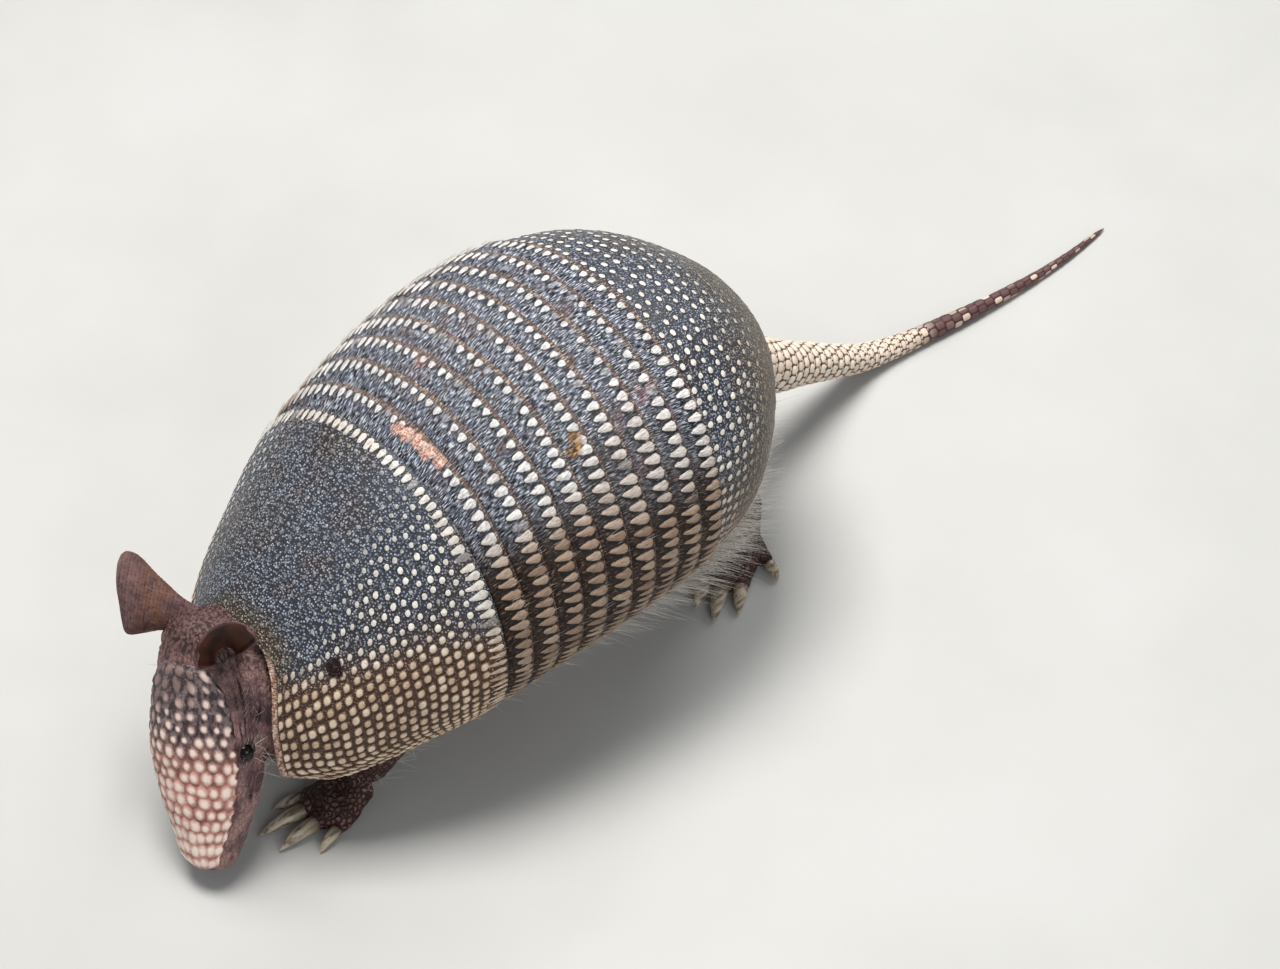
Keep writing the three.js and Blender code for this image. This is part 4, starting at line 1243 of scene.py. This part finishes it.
def skin():
    """The bare skin in one piece: trunk, neck, head, legs and feet, with folds, lids and nostrils."""
    mesh = joined(flesh_forms(), "skin_form")
    mesh = through_modifiers(mesh, ("REMESH", dict(mode="VOXEL", voxel_size=VOXEL * MM, adaptivity=0.0)))
    work = bmesh.new()
    work.from_mesh(mesh)
    # The flat hidden top gives way to one face.
    middles = unplaced(np.array([face.calc_center_median() for face in work.faces]))
    upwards = np.array([face.normal.z for face in work.faces])
    s = np.interp(middles[:, 1], along(BODY, "y", SPINE_STEPS), SPINE_STEPS)
    rim = shell_point(s, wrap(s) - LID_FROM, np.full(len(s), -SKIN_INSET))
    hidden = (upwards > 0.93) & (s > 0.42) & (s < 0.76)
    hidden &= (np.abs(middles[:, 0]) < rim[:, 0] - 3) & (np.abs(middles[:, 2] - rim[:, 2]) < 9)
    work.faces.ensure_lookup_table()
    lid = [work.faces[int(n)] for n in np.flatnonzero(hidden)]
    bmesh.ops.delete(work, geom=lid, context="FACES")
    bmesh.ops.holes_fill(work, edges=[edge for edge in work.edges if edge.is_boundary], sides=0)
    smoothed(work, 3)
    # Finer faces on the head, and finer again round the eyes.
    finer(work, lambda spots: (
        (spots[:, 1] < -14) & (spots[:, 1] > -120) & (np.abs(spots[:, 0]) < 32) & (np.abs(spots[:, 2]) < 32)
    ))
    smoothed(work, 1)
    finer(work, lambda spots: np.min([
        np.linalg.norm(spots - eye["spot"], axis=1) for eye in EYES.values()
    ], axis=0) < 10)
    mesh.clear_geometry()
    work.to_mesh(mesh)
    work.free()
    mesh.name = "skin"

    points = unplaced(read(mesh.vertices, "co"))
    normals = read(mesh.vertex_normals, "vector")

    in_head = to_head(points)
    at, turn = -in_head[:, 1], np.abs(np.arctan2(in_head[:, 0], in_head[:, 2]))
    girth = np.maximum(along(HEAD, "half", np.clip(at, HEAD_FROM, HEAD_TO)), 8)
    off_axis = np.hypot(in_head[:, 0], in_head[:, 2])
    of_head = smooth(at, 2, 12) * (1 - smooth(off_axis, girth * 1.25, girth * 1.5))
    neck_line = spline([row[:3] for row in NECK], np.linspace(0, 1, 24))
    to_neck = nearest(points, neck_line)
    of_neck = (1 - smooth(to_neck, 40, 52)) * (1 - of_head)
    of_neck = np.maximum(of_neck, smooth(at, -12, 0) * (1 - smooth(at, 8, 22)) * (turn > 0.5))

    of_leg = np.zeros(len(points))
    for leg in LEGS.values():
        rows = to_side(leg["rows"], leg["side"], leg["forward"])
        line = spline([row[:3] for row in rows], np.linspace(0.3, 1, 16))
        toe = from_foot(np.array([[0, -30.0, 5]]), leg)
        line = np.concatenate([line, np.linspace(line[-1], toe[0], 10)])
        to_leg = nearest(points, line)
        of_leg = np.maximum(of_leg, 1 - smooth(to_leg, 20, 30))
    of_leg = of_leg * (1 - smooth(points[:, 2], 52, 66)) * (1 - of_head)
    of_belly = (1 - of_leg) * (1 - of_head) * (1 - of_neck)

    # Long folds down the neck, fine creases over the face, and slack skin on the belly.
    crown = 1 - smooth(turn, 0.7, 1.2)
    folds = np.sin(in_head[:, 2] * 1.75 + 1.5 * ripple(points, 30, 31) + 0.06 * at) * (1 - crown)
    folds = folds + ripple(points, 9, 32) * lerp(0.35, 0.12, crown)
    lines = ripple(in_head * np.array([1, 0.35, 1]), 4.2, 33) * 0.16 + ripple(in_head, 11, 34) * 0.25
    slack = ripple(points * np.array([0.5, 1, 1]), 13, 35) * 0.7 + ripple(points, 5, 36) * 0.25
    warts = ripple(points, 5.5, 37) * 0.25
    creases = np.sin(in_head[:, 2] * 1.9 + 1.6 * ripple(points, 24, 38))
    creases = creases * smooth(turn, 1.0, 1.3) * (1 - smooth(at, 32, 46))
    # Fine wrinkles fan out behind the eye.
    behind = np.exp(-(((at - EYE_AT + 9) / 7) ** 2 + ((turn - EYE_TURN) * girth / 6) ** 2))
    wrinkles = behind * np.sin((turn - EYE_TURN) * girth * 2.6 + 0.5 * np.sin(at * 0.5)) * 0.4
    lift = of_neck * folds + of_head * (lines + wrinkles + 0.35 * creases) + of_belly * slack + of_leg * warts
    # The mouth is a fine groove along each side of the snout.
    mouth = hump((turn - 2.15 + 0.003 * (at - 70)) * girth, 0, 0.75)
    mouth = mouth * smooth(at, 62, 72) * (1 - smooth(at, 108, 113))
    lift = lift - 0.9 * mouth
    # A cheek behind the eye, and a hollow below it and before it.
    lift = lift + of_head * 0.9 * np.exp(-(((at - 30) / 9) ** 2 + ((turn - 1.75) / 0.35) ** 2))
    lift = lift - of_head * 0.7 * np.exp(-(((at - 62) / 8) ** 2 + ((turn - 1.6) / 0.3) ** 2))
    on_floor = smooth(points[:, 2], 0.5, 4)
    points = points + normals * (lift * on_floor)[:, None]
    points[:, 2] = np.maximum(points[:, 2], 0)

    in_head = to_head(points)
    in_head, lids, hollow = carve_eyes(in_head)
    # Nostrils, on the flat end of the snout.
    for side in (-1, 1):
        nostril = np.array(NOSTRIL_AT) * np.array([side, 1, 1])
        far = np.linalg.norm((in_head - nostril) * np.array([1, 0.6, 1.25]), axis=1)
        dent = hump(far, 0, NOSTRIL_SIZE)
        in_head[:, 1] += NOSTRIL_DEPTH * dent
        swell = 0.35 * hump(far, 2.6, 0.9) * (at > 100)
        in_head -= (in_head - nostril) * swell[:, None] * np.array([-0.25, 0, -0.25])
        hollow = np.maximum(hollow, smooth(dent, 0.35, 0.75))
    points = np.where((of_head > 0.01)[:, None], from_head(in_head), points)

    set_points(mesh, points)
    # Where the skin is painted dark as shade: the eye openings, the nostrils and the mouth's groove.
    hollow = np.maximum(hollow, 0.8 * mouth)
    # How high the skin stands in its folds and creases; the colours paint shade into the low places.
    fold = np.where(of_neck > of_head, 0.55 + 0.35 * folds, 0.5 + 0.8 * lines + wrinkles + 0.3 * creases)
    masks = dict(
        crown=of_neck * smooth(normals[:, 2], 0.1, 0.5), face=of_head, neck=of_neck, leg=of_leg,
        belly=of_belly, lid=lids, hollow=hollow, fold=fold,
    )
    for key, values in masks.items():
        attribute(mesh, key, np.clip(values, 0, 1))
    nodes = ["trunk", "neck", "head"] + [f"{part}_{leg}" for leg in LEGS for part in ("leg", "foot")]
    return finish(mesh, HIDE, nodes)


# ------------------------------------------------------------------ the head's plate, ears and eyes
def head_plates():
    """The plate over the skull and snout, with its oval scales in relief."""
    cols = HEAD_COLS
    rows, depth_of = plate_rows(outside=190, inside=10)
    piece = Piece("head_plates", cols, len(rows), join_rows=True)
    across = piece.col / cols * 2 - 1
    k = piece.row.astype(int)
    share, depth = rows[k], depth_of[k]
    bow = 1 - across**2
    at = lerp(11.0, 107.5, share) + 2.5 * bow * smooth(share, 0.8, 1)
    at = at - 1.5 * bow * (1 - smooth(share, 0, 0.2))
    reach = np.radians(along(HEAD_SHIELD, "reach", at))
    at_edge = smooth(np.abs(across), 0.86, 1.0)
    turn = across * reach * (1 + at_edge * (0.03 * np.sin(at * 0.9) + 0.012 * np.sin(at * 2.3 + 1)))
    half_mm = reach * (along(HEAD, "half", at) + along(HEAD, "top", at)) / 2
    pitch = 5.3
    row_count = 16
    stretch = 96.5 / row_count
    warp = 0.12 * ripple(stack(across * half_mm, at, 0), 18, 51)
    near, second, tone = scutes(
        share * row_count + warp, across + warp * 0.05, stretch, half_mm, pitch, 301,
        lambda row: np.interp(row, [0, 4, 13, 16], [14, 25, 21, 14]), long=1.4,
    )
    radius = lerp(1.45, 2.1, tone) * lerp(0.92, 1.2, smooth(share, 0.3, 0.6))
    seam = (second - near) / 2
    seam_share = np.clip(seam / 0.55, 0, 1)
    dot = near / radius + 0.5 * smooth(np.abs(across), 0.93, 1.0)
    dome = np.sqrt(np.clip(1 - (near / (radius * 1.2)) ** 2, 0, 1))
    edge = 1 - smooth(np.abs(across), 0.95, 1.0)
    ends = smooth(share, 0, 0.03) * (1 - smooth(share, 0.97, 1))
    relief = (0.55 * dome - 0.2 * (1 - seam_share)) * edge * ends * (1 - smooth(depth, 0, 0.3))
    lift = 1.05 + 0.9 * edge * ends + relief - depth * (0.7 + 1.3 * edge * ends)
    piece.shape(from_head(head_point(at, turn, lift)))
    waver = ripple(stack(across * 20, at, 3), 14, 52)
    nose = smooth(share + 0.04 * waver, 0.3, 0.52)
    show = smooth(share + 0.06 * waver + 0.14 * across, 0.06, 0.3)
    masks = dict(dot=dot, tone=tone, nose=nose, show=show)
    return painted(piece, HEAD_PLATE, "head_shield", ("head_shield",), **masks)


def ear(name, base, lies, faces, curl, skew):
    """A cupped leaf of leather, pebbled on its back, with a rolled rim."""
    half, steps = 64, 84
    cols = half * 2
    piece = Piece(name, cols, steps, join_cols=True)
    outside = piece.col <= half
    u = np.where(outside, piece.col / half * 2 - 1, 3 - piece.col / half * 2)
    v = piece.row / steps
    v = 1 - (1 - v) ** 1.15
    axis = unit(np.array(lies, float))
    opens = np.array(faces, float)
    opens = unit(opens - axis * (opens @ axis))
    across = np.cross(axis, opens)
    fold = np.radians(along(EAR, "fold", v)) * lerp(1, curl, v)
    arc = along(EAR, "arc", v)
    radius = arc / fold
    angle = fold * u
    rim = np.sqrt(np.clip(1 - np.abs(u) ** 14, 0, 1)) * np.sqrt(np.clip(1 - v**18, 0, 1))
    wall = EAR_WALL * lerp(0.35, 1, rim) * lerp(1.35, 0.75, v)
    pitch = 1.75
    rows = EAR_LENGTH / pitch
    near, _, tone = scutes(
        v * rows, u, np.full(len(u), pitch), arc, pitch, 401 + len(name),
        lambda row: along(EAR, "arc", np.clip((row + 0.5) / rows, 0, 1)),
    )
    pebble = np.sqrt(np.clip(1 - (near / 1.15) ** 2, 0, 1)) * 0.34
    ribs = ripple(stack(u * arc, v * 12, 0), 9, 61) * 0.35
    inner = ~outside
    depth = np.where(outside, -pebble * rim - ribs * 0.5, wall + ribs * 0.5 - 0.12 * pebble)
    flutter = 0.3 * ripple(stack(u * arc, v * EAR_LENGTH, 5), 22, 62 + len(name)) * smooth(v, 0.2, 0.8)
    rolled = 1.6 * smooth(np.abs(u), 0.82, 1.0) * smooth(v, 0.1, 0.4)
    offset = depth + flutter + rolled
    points = (
        np.array(base, float)
        + axis * ((EAR_LENGTH * (1 - EAR_BOW * u**2) + skew * u) * v)[:, None]
        + opens * (radius - (radius - offset) * np.cos(angle))[:, None]
        + across * ((radius - offset) * np.sin(angle))[:, None]
    )
    piece.shape(from_head(points))
    cloud = ripple(stack(u * arc, v * 37, 2), 16, 64)
    glow = smooth(v + 0.12 * cloud, 0.12, 0.4) * (1 - smooth(v, 0.62, 0.9))
    # The inside of the cup, whose brown lining is painted dark as shade.
    lining = inner * (1 - smooth(np.abs(u), 0.8, 0.97)) * (1 - smooth(v, 0.93, 0.99))
    masks = dict(dot=near, tone=tone, glow=glow, inner=lining)
    return painted(piece, EAR_LEATHER, "ear", (name.replace("_leather", ""),), **masks)


def eyeball(name, spot, out):
    """A ball with a slight cornea, looking along out."""
    cornea_from, bulge, rise = 2.2, 0.35, 2.0
    work = bmesh.new()
    bmesh.ops.create_uvsphere(work, u_segments=40, v_segments=24, radius=(EYE_RADIUS - 0.05) * MM)
    for vertex in work.verts:
        if vertex.co.z > cornea_from * MM:
            vertex.co.z += bulge * MM * ((vertex.co.z / MM - cornea_from) / rise) ** 2
    turn = Vector(HEAD_MATRIX @ out).to_track_quat("Z", "Y").to_matrix()
    bmesh.ops.rotate(work, verts=work.verts, cent=(0, 0, 0), matrix=turn)
    bmesh.ops.translate(work, verts=work.verts, vec=placed(from_head(spot)))
    return finish(mesh_of(work, name + "_ball"), EYE_GLOSS, (name,))


# ------------------------------------------------------------------ claws and tail
def claws(leg_name):
    leg = LEGS[leg_name]
    is_front = leg["rows"] is FRONT_LEG
    meshes, nodes = [], []
    for n, toe in enumerate(FRONT_TOES if is_front else HIND_TOES):
        rows = claw_rows(toe, leg["side"])
        piece = tube(f"claw_form_{n}", rows, 20, 28, 0.6, 0.5, lambda points: from_foot(points, leg))
        spots = read(piece.mesh.vertices, "co")
        spots[:, 2] = np.maximum(spots[:, 2], 0)
        set_metres(piece.mesh, spots)
        attribute(piece.mesh, "root", 1 - smooth(piece.at, 0.6, 1.8))
        meshes.append(piece.mesh)
        nodes.append(f"claw_{leg_name}_{n + 1}")
    return finish(joined(meshes, f"claws_{leg_name}"), CLAW_HORN, nodes)


# Row numbers along TAIL, and the length in mm along the tail up to each.
TAIL_STEPS = 400
ROOT_RING, TIP_RING = 8.2, 4.2  # the length of a ring at the root and near the tip
TAIL_SCUTE = 5.2  # how wide a scute of a ring is
TAIL_LAST = len(TAIL) - 1
TAIL_ROWS = np.linspace(0, TAIL_LAST, TAIL_STEPS)
TAIL_LINE = spline([row[:3] for row in TAIL], np.linspace(0, 1, TAIL_STEPS))
TAIL_REACH = np.concatenate([[0], np.cumsum(np.linalg.norm(np.diff(TAIL_LINE, axis=0), axis=1))])


def tail_piece(name, slot, nodes, begin, end, cols, steps):
    """A length of the tail: rings of long scutes behind a narrow band of small ones, then plain rows."""
    piece = Piece(name, cols, steps, join_cols=True)
    start_mm, end_mm = np.interp([begin, end], TAIL_ROWS, TAIL_REACH)
    length = start_mm + (end_mm - start_mm) * piece.row / steps
    at = np.interp(length, TAIL_REACH, TAIL_ROWS)
    turn = piece.col / cols * 2 * np.pi
    share = turn / np.pi - 1
    widths = table("at radius", [(n, row[3]) for n, row in enumerate(TAIL)])
    radius = along(widths, "radius", at)
    ring_mm = lerp(ROOT_RING, TIP_RING, smooth(TAIL_REACH, 20, 190))
    rings_so_far = np.cumsum(np.full(TAIL_STEPS, TAIL_REACH[-1] / (TAIL_STEPS - 1)) / ring_mm)
    ring_count = np.interp(length, TAIL_REACH, rings_so_far)
    ring = np.floor(ring_count)
    k = ring_count - ring
    plum = smooth(length + 10 * ripple(stack(np.cos(turn) * 8, np.sin(turn) * 8, length), 40, 71), 150, 185)
    small_rows = 0.34 * (1 - plum)
    order = np.argsort(ring_count)
    ring_radius = np.interp(ring + 0.5, ring_count[order], radius[order])
    count = np.maximum(np.round(2 * np.pi * ring_radius / TAIL_SCUTE), 6)
    column = (share + 1) / 2 * count + 0.5 * (ring % 2)
    cell = np.floor(column)
    x = (column - cell - 0.5) / count * 2 * np.pi * radius
    half_width = np.pi * radius / count
    big = k > small_rows
    y = (k - small_rows) / (1 - small_rows) - 0.5
    big_edge = (np.abs(x / (half_width * 0.93)) ** 3.2 + np.abs(y / 0.47) ** 3.6) ** (1 / 3.4)
    fine_count = count * 2
    fine = (share + 1) / 2 * fine_count + 0.25
    fx = (fine - np.floor(fine) - 0.5) / fine_count * 2 * np.pi * radius
    fy = k / np.maximum(small_rows, 0.01) - 0.5
    fine_half = np.pi * radius / fine_count * 0.9
    small_edge = (np.abs(fx / fine_half) ** 2.6 + np.abs(fy / 0.5) ** 2.6) ** (1 / 2.6)
    edge_at = np.where(big, big_edge, small_edge)
    tone = np.where(big, speck(cell, ring, 73), speck(np.floor(fine), ring, 74))
    dome = np.sqrt(np.clip(1 - edge_at**2.5, 0, 1))
    relief = dome * np.where(big, 0.55, 0.25) * np.clip(radius / 8, 0.3, 1)
    step = (k - 0.35) * np.clip(radius / 12, 0.25, 1) * 1.1 * (1 - 0.6 * plum)
    close = bulb(at, 0, TAIL_LAST, 0, 0.5) if end == TAIL_LAST else 1
    points = tube_point(TAIL, at, turn + np.pi, relief + step - 0.4)
    middle = spline([row[:3] for row in TAIL], at / TAIL_LAST)
    points = middle + (points - middle) * np.asarray(close).reshape(-1, 1)
    points[:, 2] = np.maximum(points[:, 2], 0)
    piece.shape(points)
    groove = np.where(big, 0, 1 - plum) * smooth(np.cos(turn + np.pi), -0.2, 0.6)
    return painted(piece, TAIL_PLATE, slot, nodes, dot=edge_at, tone=tone, plum=plum, groove=groove)


skin()
head_plates()
for ear_name, ear_shape in EARS.items():
    ear(ear_name + "_leather", **ear_shape)
for eye_name, eye_shape in EYES.items():
    eyeball(eye_name, **eye_shape)
for leg_name in LEGS:
    claws(leg_name)
tail_piece("tail_rings", "tail_rings", ("tail_1", "tail_2", "tail_3"), 0, 6.2, 96, 330)
tail_piece("tail_tip", "tail_tip", ("tail_4", "tail_5"), 6.15, TAIL_LAST, 48, 260)


# ------------------------------------------------------------------ hair
HAIR_PATCH = 0.003  # how much of its map each hair takes
FRINGE_HAIRS, RUMP_HAIRS, BAND_BRISTLES = 2600, 520, 230


def strands(name, roots, heads, bends, lengths, widths, tones, darks, patch):
    """Thin tapered hairs. Each leaves its root along heads, and bends moves its tip, in lengths."""
    sides, rows, count = 3, 4, len(roots)
    one = Piece(name + "_one", sides, rows, join_cols=True)
    many = through_modifiers(one.mesh, ("ARRAY", dict(
        count=count, use_relative_offset=False, use_constant_offset=True, constant_offset_displace=(0, 0, 0),
    )))
    many.name = name
    each = len(one.mesh.vertices)
    k = np.tile(one.row / rows, count)
    turn = np.tile(one.col / sides * 2 * np.pi, count)
    which = np.repeat(np.arange(count), each)
    heads = unit(heads)
    first = unit(np.cross(heads, np.array([0.31, 0.87, 0.38])))
    second = np.cross(heads, first)
    reach = (lengths[which] * k)[:, None]
    path = roots[which] + heads[which] * reach + bends[which] * reach * k[:, None]
    thick = (widths[which] * (1 - k**1.5 * 0.92))[:, None]
    points = path + thick * (first[which] * np.cos(turn)[:, None] + second[which] * np.sin(turn)[:, None])
    points[:, 2] = np.maximum(points[:, 2], 0.05)
    set_points(many, points)
    for key, values in (("tip", k), ("tone", tones[which]), ("dark", darks[which])):
        attribute(many, key, values)
    spots = patch[which] + HAIR_PATCH * (stack(turn / 6.3, k) - 0.5)
    plan_map(many, "OFBake", spots[:, 0], spots[:, 1])
    return finish(many, HAIR)


def jitter(count, spread):
    return RNG.normal(size=(count, 3)) * spread


def shell_roots(s, across, lift):
    angle = across * wrap(s)
    lift = np.broadcast_to(lift, s.shape)
    patch = np.stack([0.02 + 0.96 * s, 0.5 + 0.45 * across / 1.4], 1)
    return shell_point(s, angle, lift), arch_normal(s, angle), patch


def backwards_at(s, across):
    angle = across * wrap(s)
    return unit(arch_point(s + 0.01, angle) - arch_point(s - 0.01, angle))


def fringe():
    """Long pale hair below the lower edge of the shell, thick over the hind legs."""
    count = FRINGE_HAIRS
    s = 0.36 + 0.6 * RNG.beta(3.2, 1.6, count)
    side = np.where(RNG.random(count) < 0.5, -1, 1)
    across = side * RNG.uniform(0.93, 1.12, count)
    roots, out, patch = shell_roots(np.minimum(s, 0.98), across, -RNG.uniform(3, 9, count))
    heads = backwards_at(s, across) + out * 0.5 + np.array([0, 0, -0.32]) + jitter(count, 0.15)
    bends = np.array([0, 0.1, -0.14]) + jitter(count, 0.05)
    lengths = RNG.uniform(18, 42, count) * lerp(0.4, 1, smooth(s, 0.42, 0.72))
    lengths = lengths * lerp(1.0, 0.8, smooth(s, 0.88, 0.96))
    tones = RNG.random(count)
    widths = RNG.uniform(0.1, 0.19, count)
    darks = 0.25 * (RNG.random(count) < 0.2)
    return strands("fringe_hair", roots, heads, bends, lengths, widths, tones, darks, patch)


def rump_hair():
    """Short pale hair behind the last shield, on both sides of the tail."""
    count = RUMP_HAIRS
    across = RNG.uniform(-1.0, 1.0, count)
    across = np.sign(across) * np.abs(across) ** 0.5
    s = rump_edge(across) - RNG.uniform(0.0, 0.03, count)
    roots, out, patch = shell_roots(s, across, -RNG.uniform(2, 4.5, count))
    heads = backwards_at(s, across) + out * 0.25 + np.array([0, 0.2, -0.1]) + jitter(count, 0.18)
    lengths = RNG.uniform(8, 22, count) * smooth(np.abs(across), 0.15, 0.7) + 3
    bends = np.array([0, 0, -0.25]) + jitter(count, 0.08)
    widths = RNG.uniform(0.1, 0.17, count)
    tones = RNG.random(count)
    return strands("rump_hair", roots, heads, bends, lengths, widths, tones, np.zeros(count), patch)


def band_hair():
    """Short bristles from under each rim, lying back over the next band."""
    roots, heads, lengths, darks, patches = [], [], [], [], []
    count = BAND_BRISTLES
    for index in range(-1, BAND_COUNT):
        across = np.linspace(-0.97, 0.97, count) + RNG.normal(size=count) * 0.004
        start = lerp(BANDS_FROM, BANDS_TO, (index + 1) / BAND_COUNT)
        s = np.full(count, start - 0.003) - RNG.uniform(0, 0.02, count)
        spot, out, patch = shell_roots(s, across, BAND_STEP + 0.9)
        roots.append(spot)
        way = backwards_at(s, across) + out * RNG.uniform(0.0, 0.16, count)[:, None]
        heads.append(way + jitter(count, 0.1))
        lengths.append(RNG.uniform(3.0, 7.0, count))
        dark_share = lerp(0.35, 0.65, smooth(np.abs(across), 0.3, 0.7))
        darks.append(np.where(RNG.random(count) < dark_share, 1.0, 0.15))
        patches.append(patch)
    columns = (roots, heads, lengths, darks, patches)
    roots, heads, lengths, darks, patches = (np.concatenate(column) for column in columns)
    bends = np.array([0, 0, -0.06]) + jitter(len(roots), 0.04)
    widths = RNG.uniform(0.045, 0.085, len(roots))
    tones = RNG.random(len(roots))
    return strands("band_bristles", roots, heads, bends, lengths, widths, tones, darks, patches)


def on_skin(skin_piece, count, keep, salt):
    """Evenly drawn roots on the skin where keep(points, normals) allows, with their normals."""
    faces = skin_piece.data.polygons
    centres = unplaced(read(faces, "center"))
    normals = read(faces, "normal")
    weight = keep(centres, normals) + 1e-9
    draw = np.random.default_rng(salt)
    chosen = draw.choice(len(centres), size=count, replace=False, p=weight / weight.sum())
    return centres[chosen], normals[chosen]


def skin_patch(roots):
    """A place for each root on a flat plan of the skin: how far back it is, and its turn round the body."""
    turn = np.mod(np.arctan2(roots[:, 0], roots[:, 2] - 60) / 6.2832 + 0.5, 1)
    return np.stack([0.02 + 0.96 * (roots[:, 1] + 260) / 460, 0.03 + 0.94 * turn], 1)


def on_belly(points, normals):
    s = np.interp(points[:, 1], along(BODY, "y", SPINE_STEPS), SPINE_STEPS)
    under = smooth(-normals[:, 2], 0.1, 0.7) * (points[:, 2] > 12)
    return under * smooth(s, 0.12, 0.25) * (1 - smooth(s, 0.97, 1.02))


def on_throat(points, normals):
    spot = to_head(points)
    at = -spot[:, 1]
    below = (points[:, 2] > 15) * (np.abs(spot[:, 0]) < 34) * (spot[:, 2] < 0)
    under = smooth(-normals @ HEAD_MATRIX[:, 2], 0.0, 0.6)
    return smooth(at, -2, 12) * (1 - smooth(at, 55, 75)) * under * below


def on_cheeks(points, _):
    spot = to_head(points)
    at = -spot[:, 1]
    low = smooth(np.abs(np.arctan2(spot[:, 0], spot[:, 2])), 1.1, 1.4)
    return smooth(at, 8, 20) * (1 - smooth(at, 100, 108)) * low * (np.hypot(spot[:, 0], spot[:, 2]) < 40)


def on_limbs(points, _):
    weight = np.zeros(len(points))
    for leg in LEGS.values():
        rows = to_side(leg["rows"], leg["side"], leg["forward"])
        line = spline([row[:3] for row in rows], np.linspace(0.2, 1, 12))
        weight = np.maximum(weight, 1 - smooth(nearest(points, line), 22, 34))
    return weight * smooth(points[:, 2], 5, 20) * (1 - smooth(points[:, 2], 62, 80))


# Hair on the skin. It stands out along the normal and lies along way, each varied by spread; bend moves
# its tip, varied by bend_spread; and dark is how dark its dark hairs are, and their share.
BACK_FROM_NOSE = HEAD_MATRIX @ np.array([0, 1.0, 0])
SKIN_HAIR = (
    dict(name="belly_hair", keep=on_belly, count=1500, salt=81, stand=0.55, way=(0, 0.9, -0.15),
         spread=0.25, bend=(0, 0.25, -0.1), bend_spread=0.1, lengths=(9, 20), widths=(0.09, 0.16)),
    dict(name="throat_hair", keep=on_throat, count=420, salt=82, stand=0.6,
         way=BACK_FROM_NOSE * 0.5 + (0, 0, -0.35), spread=0.3, bend=(0, 0, -0.3), bend_spread=0.15,
         lengths=(6, 14), widths=(0.1, 0.16)),
    dict(name="face_hair", keep=on_cheeks, count=460, salt=83, stand=0.45, way=BACK_FROM_NOSE * 0.8,
         spread=0.15, bend=(0, 0, 0), bend_spread=0.08, lengths=(2.5, 6), widths=(0.06, 0.1),
         dark=(0.6, 0.3)),
    dict(name="leg_hair", keep=on_limbs, count=900, salt=84, stand=0.35, way=(0, 0.35, -0.85), spread=0.2,
         bend=(0, 0.1, -0.2), bend_spread=0.1, lengths=(4, 10), widths=(0.08, 0.13), dark=(0.4, 0.4)),
)


def skin_hair(skin_piece, name, keep, count, salt, stand, way, spread, bend, bend_spread, lengths, widths,
              dark=None):
    roots, normals = on_skin(skin_piece, count, keep, salt)
    heads = normals * stand + np.array(way) + jitter(count, spread)
    bends = np.array(bend) + jitter(count, bend_spread)
    lengths = RNG.uniform(*lengths, count)
    widths = RNG.uniform(*widths, count)
    tones = RNG.random(count)
    darks = dark[0] * (RNG.random(count) < dark[1]) if dark else np.zeros(count)
    strands(name, roots, heads, bends, lengths, widths, tones, darks, skin_patch(roots))


fringe()
rump_hair()
band_hair()
for growth in SKIN_HAIR:
    skin_hair(bpy.data.objects["skin"], **growth)


# ------------------------------------------------------------------ floor, light and camera
def floor_colours(graph):
    mottle = graph.noise(6.0, detail=6.0)
    colour = graph.mix(graph.span(mottle, 0.3, 0.7), "b4b3af", "bbbab7")
    return colour, graph.span(mottle, 0.2, 0.8, 0.7, 0.85)


FLOOR_HALF, FLOOR_GAP = 4.0, 0.0004  # metres
LIT_SPOT = Vector((0, 0, 0.08))


def studio():
    work = bmesh.new()
    bmesh.ops.create_grid(work, x_segments=8, y_segments=8, size=FLOOR_HALF)
    bmesh.ops.translate(work, verts=work.verts, vec=(0, 0, -FLOOR_GAP))
    mesh = mesh_of(work, "studio_floor")
    mesh.materials.append(material("Pale floor", floor_colours, {}))
    floor = linked("studio_floor", mesh)

    world = bpy.data.worlds.new("Studio")
    world.use_nodes = True
    world.node_tree.nodes["Background"].inputs["Color"].default_value = (0.88, 0.94, 1.0, 1)
    world.node_tree.nodes["Background"].inputs["Strength"].default_value = 0.32
    bpy.context.scene.world = world
    bpy.context.scene.view_settings.view_transform = "Standard"
    lights = (
        ("key", (-0.25, -0.25, 1.9), 0.8, 48, (1.0, 0.985, 0.96)),
        ("fill", (1.6, -0.6, 1.0), 1.0, 9, (0.95, 0.98, 1.0)),
        ("back", (-0.4, 1.5, 1.3), 0.9, 14, (1.0, 1.0, 1.0)),
    )
    for name, spot, size, power, colour in lights:
        lamp = bpy.data.lights.new(name, "AREA")
        lamp.size, lamp.energy, lamp.color = size, power, colour
        holder = linked(name, lamp)
        holder.location = spot
        holder.rotation_euler = (LIT_SPOT - Vector(spot)).to_track_quat("-Z", "Y").to_euler()


def camera():
    azimuth, elevation, distance, lens = math.radians(47.0), math.radians(46.5), 2.105, 127.7
    target = Vector((0.0329, -0.04334, 0.0800))
    back = Vector((
        math.sin(azimuth) * math.cos(elevation),
        -math.cos(azimuth) * math.cos(elevation),
        math.sin(elevation),
    ))
    lens_data = bpy.data.cameras.new("camera")
    lens_data.sensor_fit, lens_data.sensor_width, lens_data.lens = "HORIZONTAL", 36, lens
    lens_data.clip_start, lens_data.clip_end = 0.05, 30
    holder = linked("camera", lens_data)
    holder.location = target + back * distance
    holder.rotation_euler = (-back).to_track_quat("-Z", "Y").to_euler()
    bpy.context.scene.camera = holder


studio()
camera()
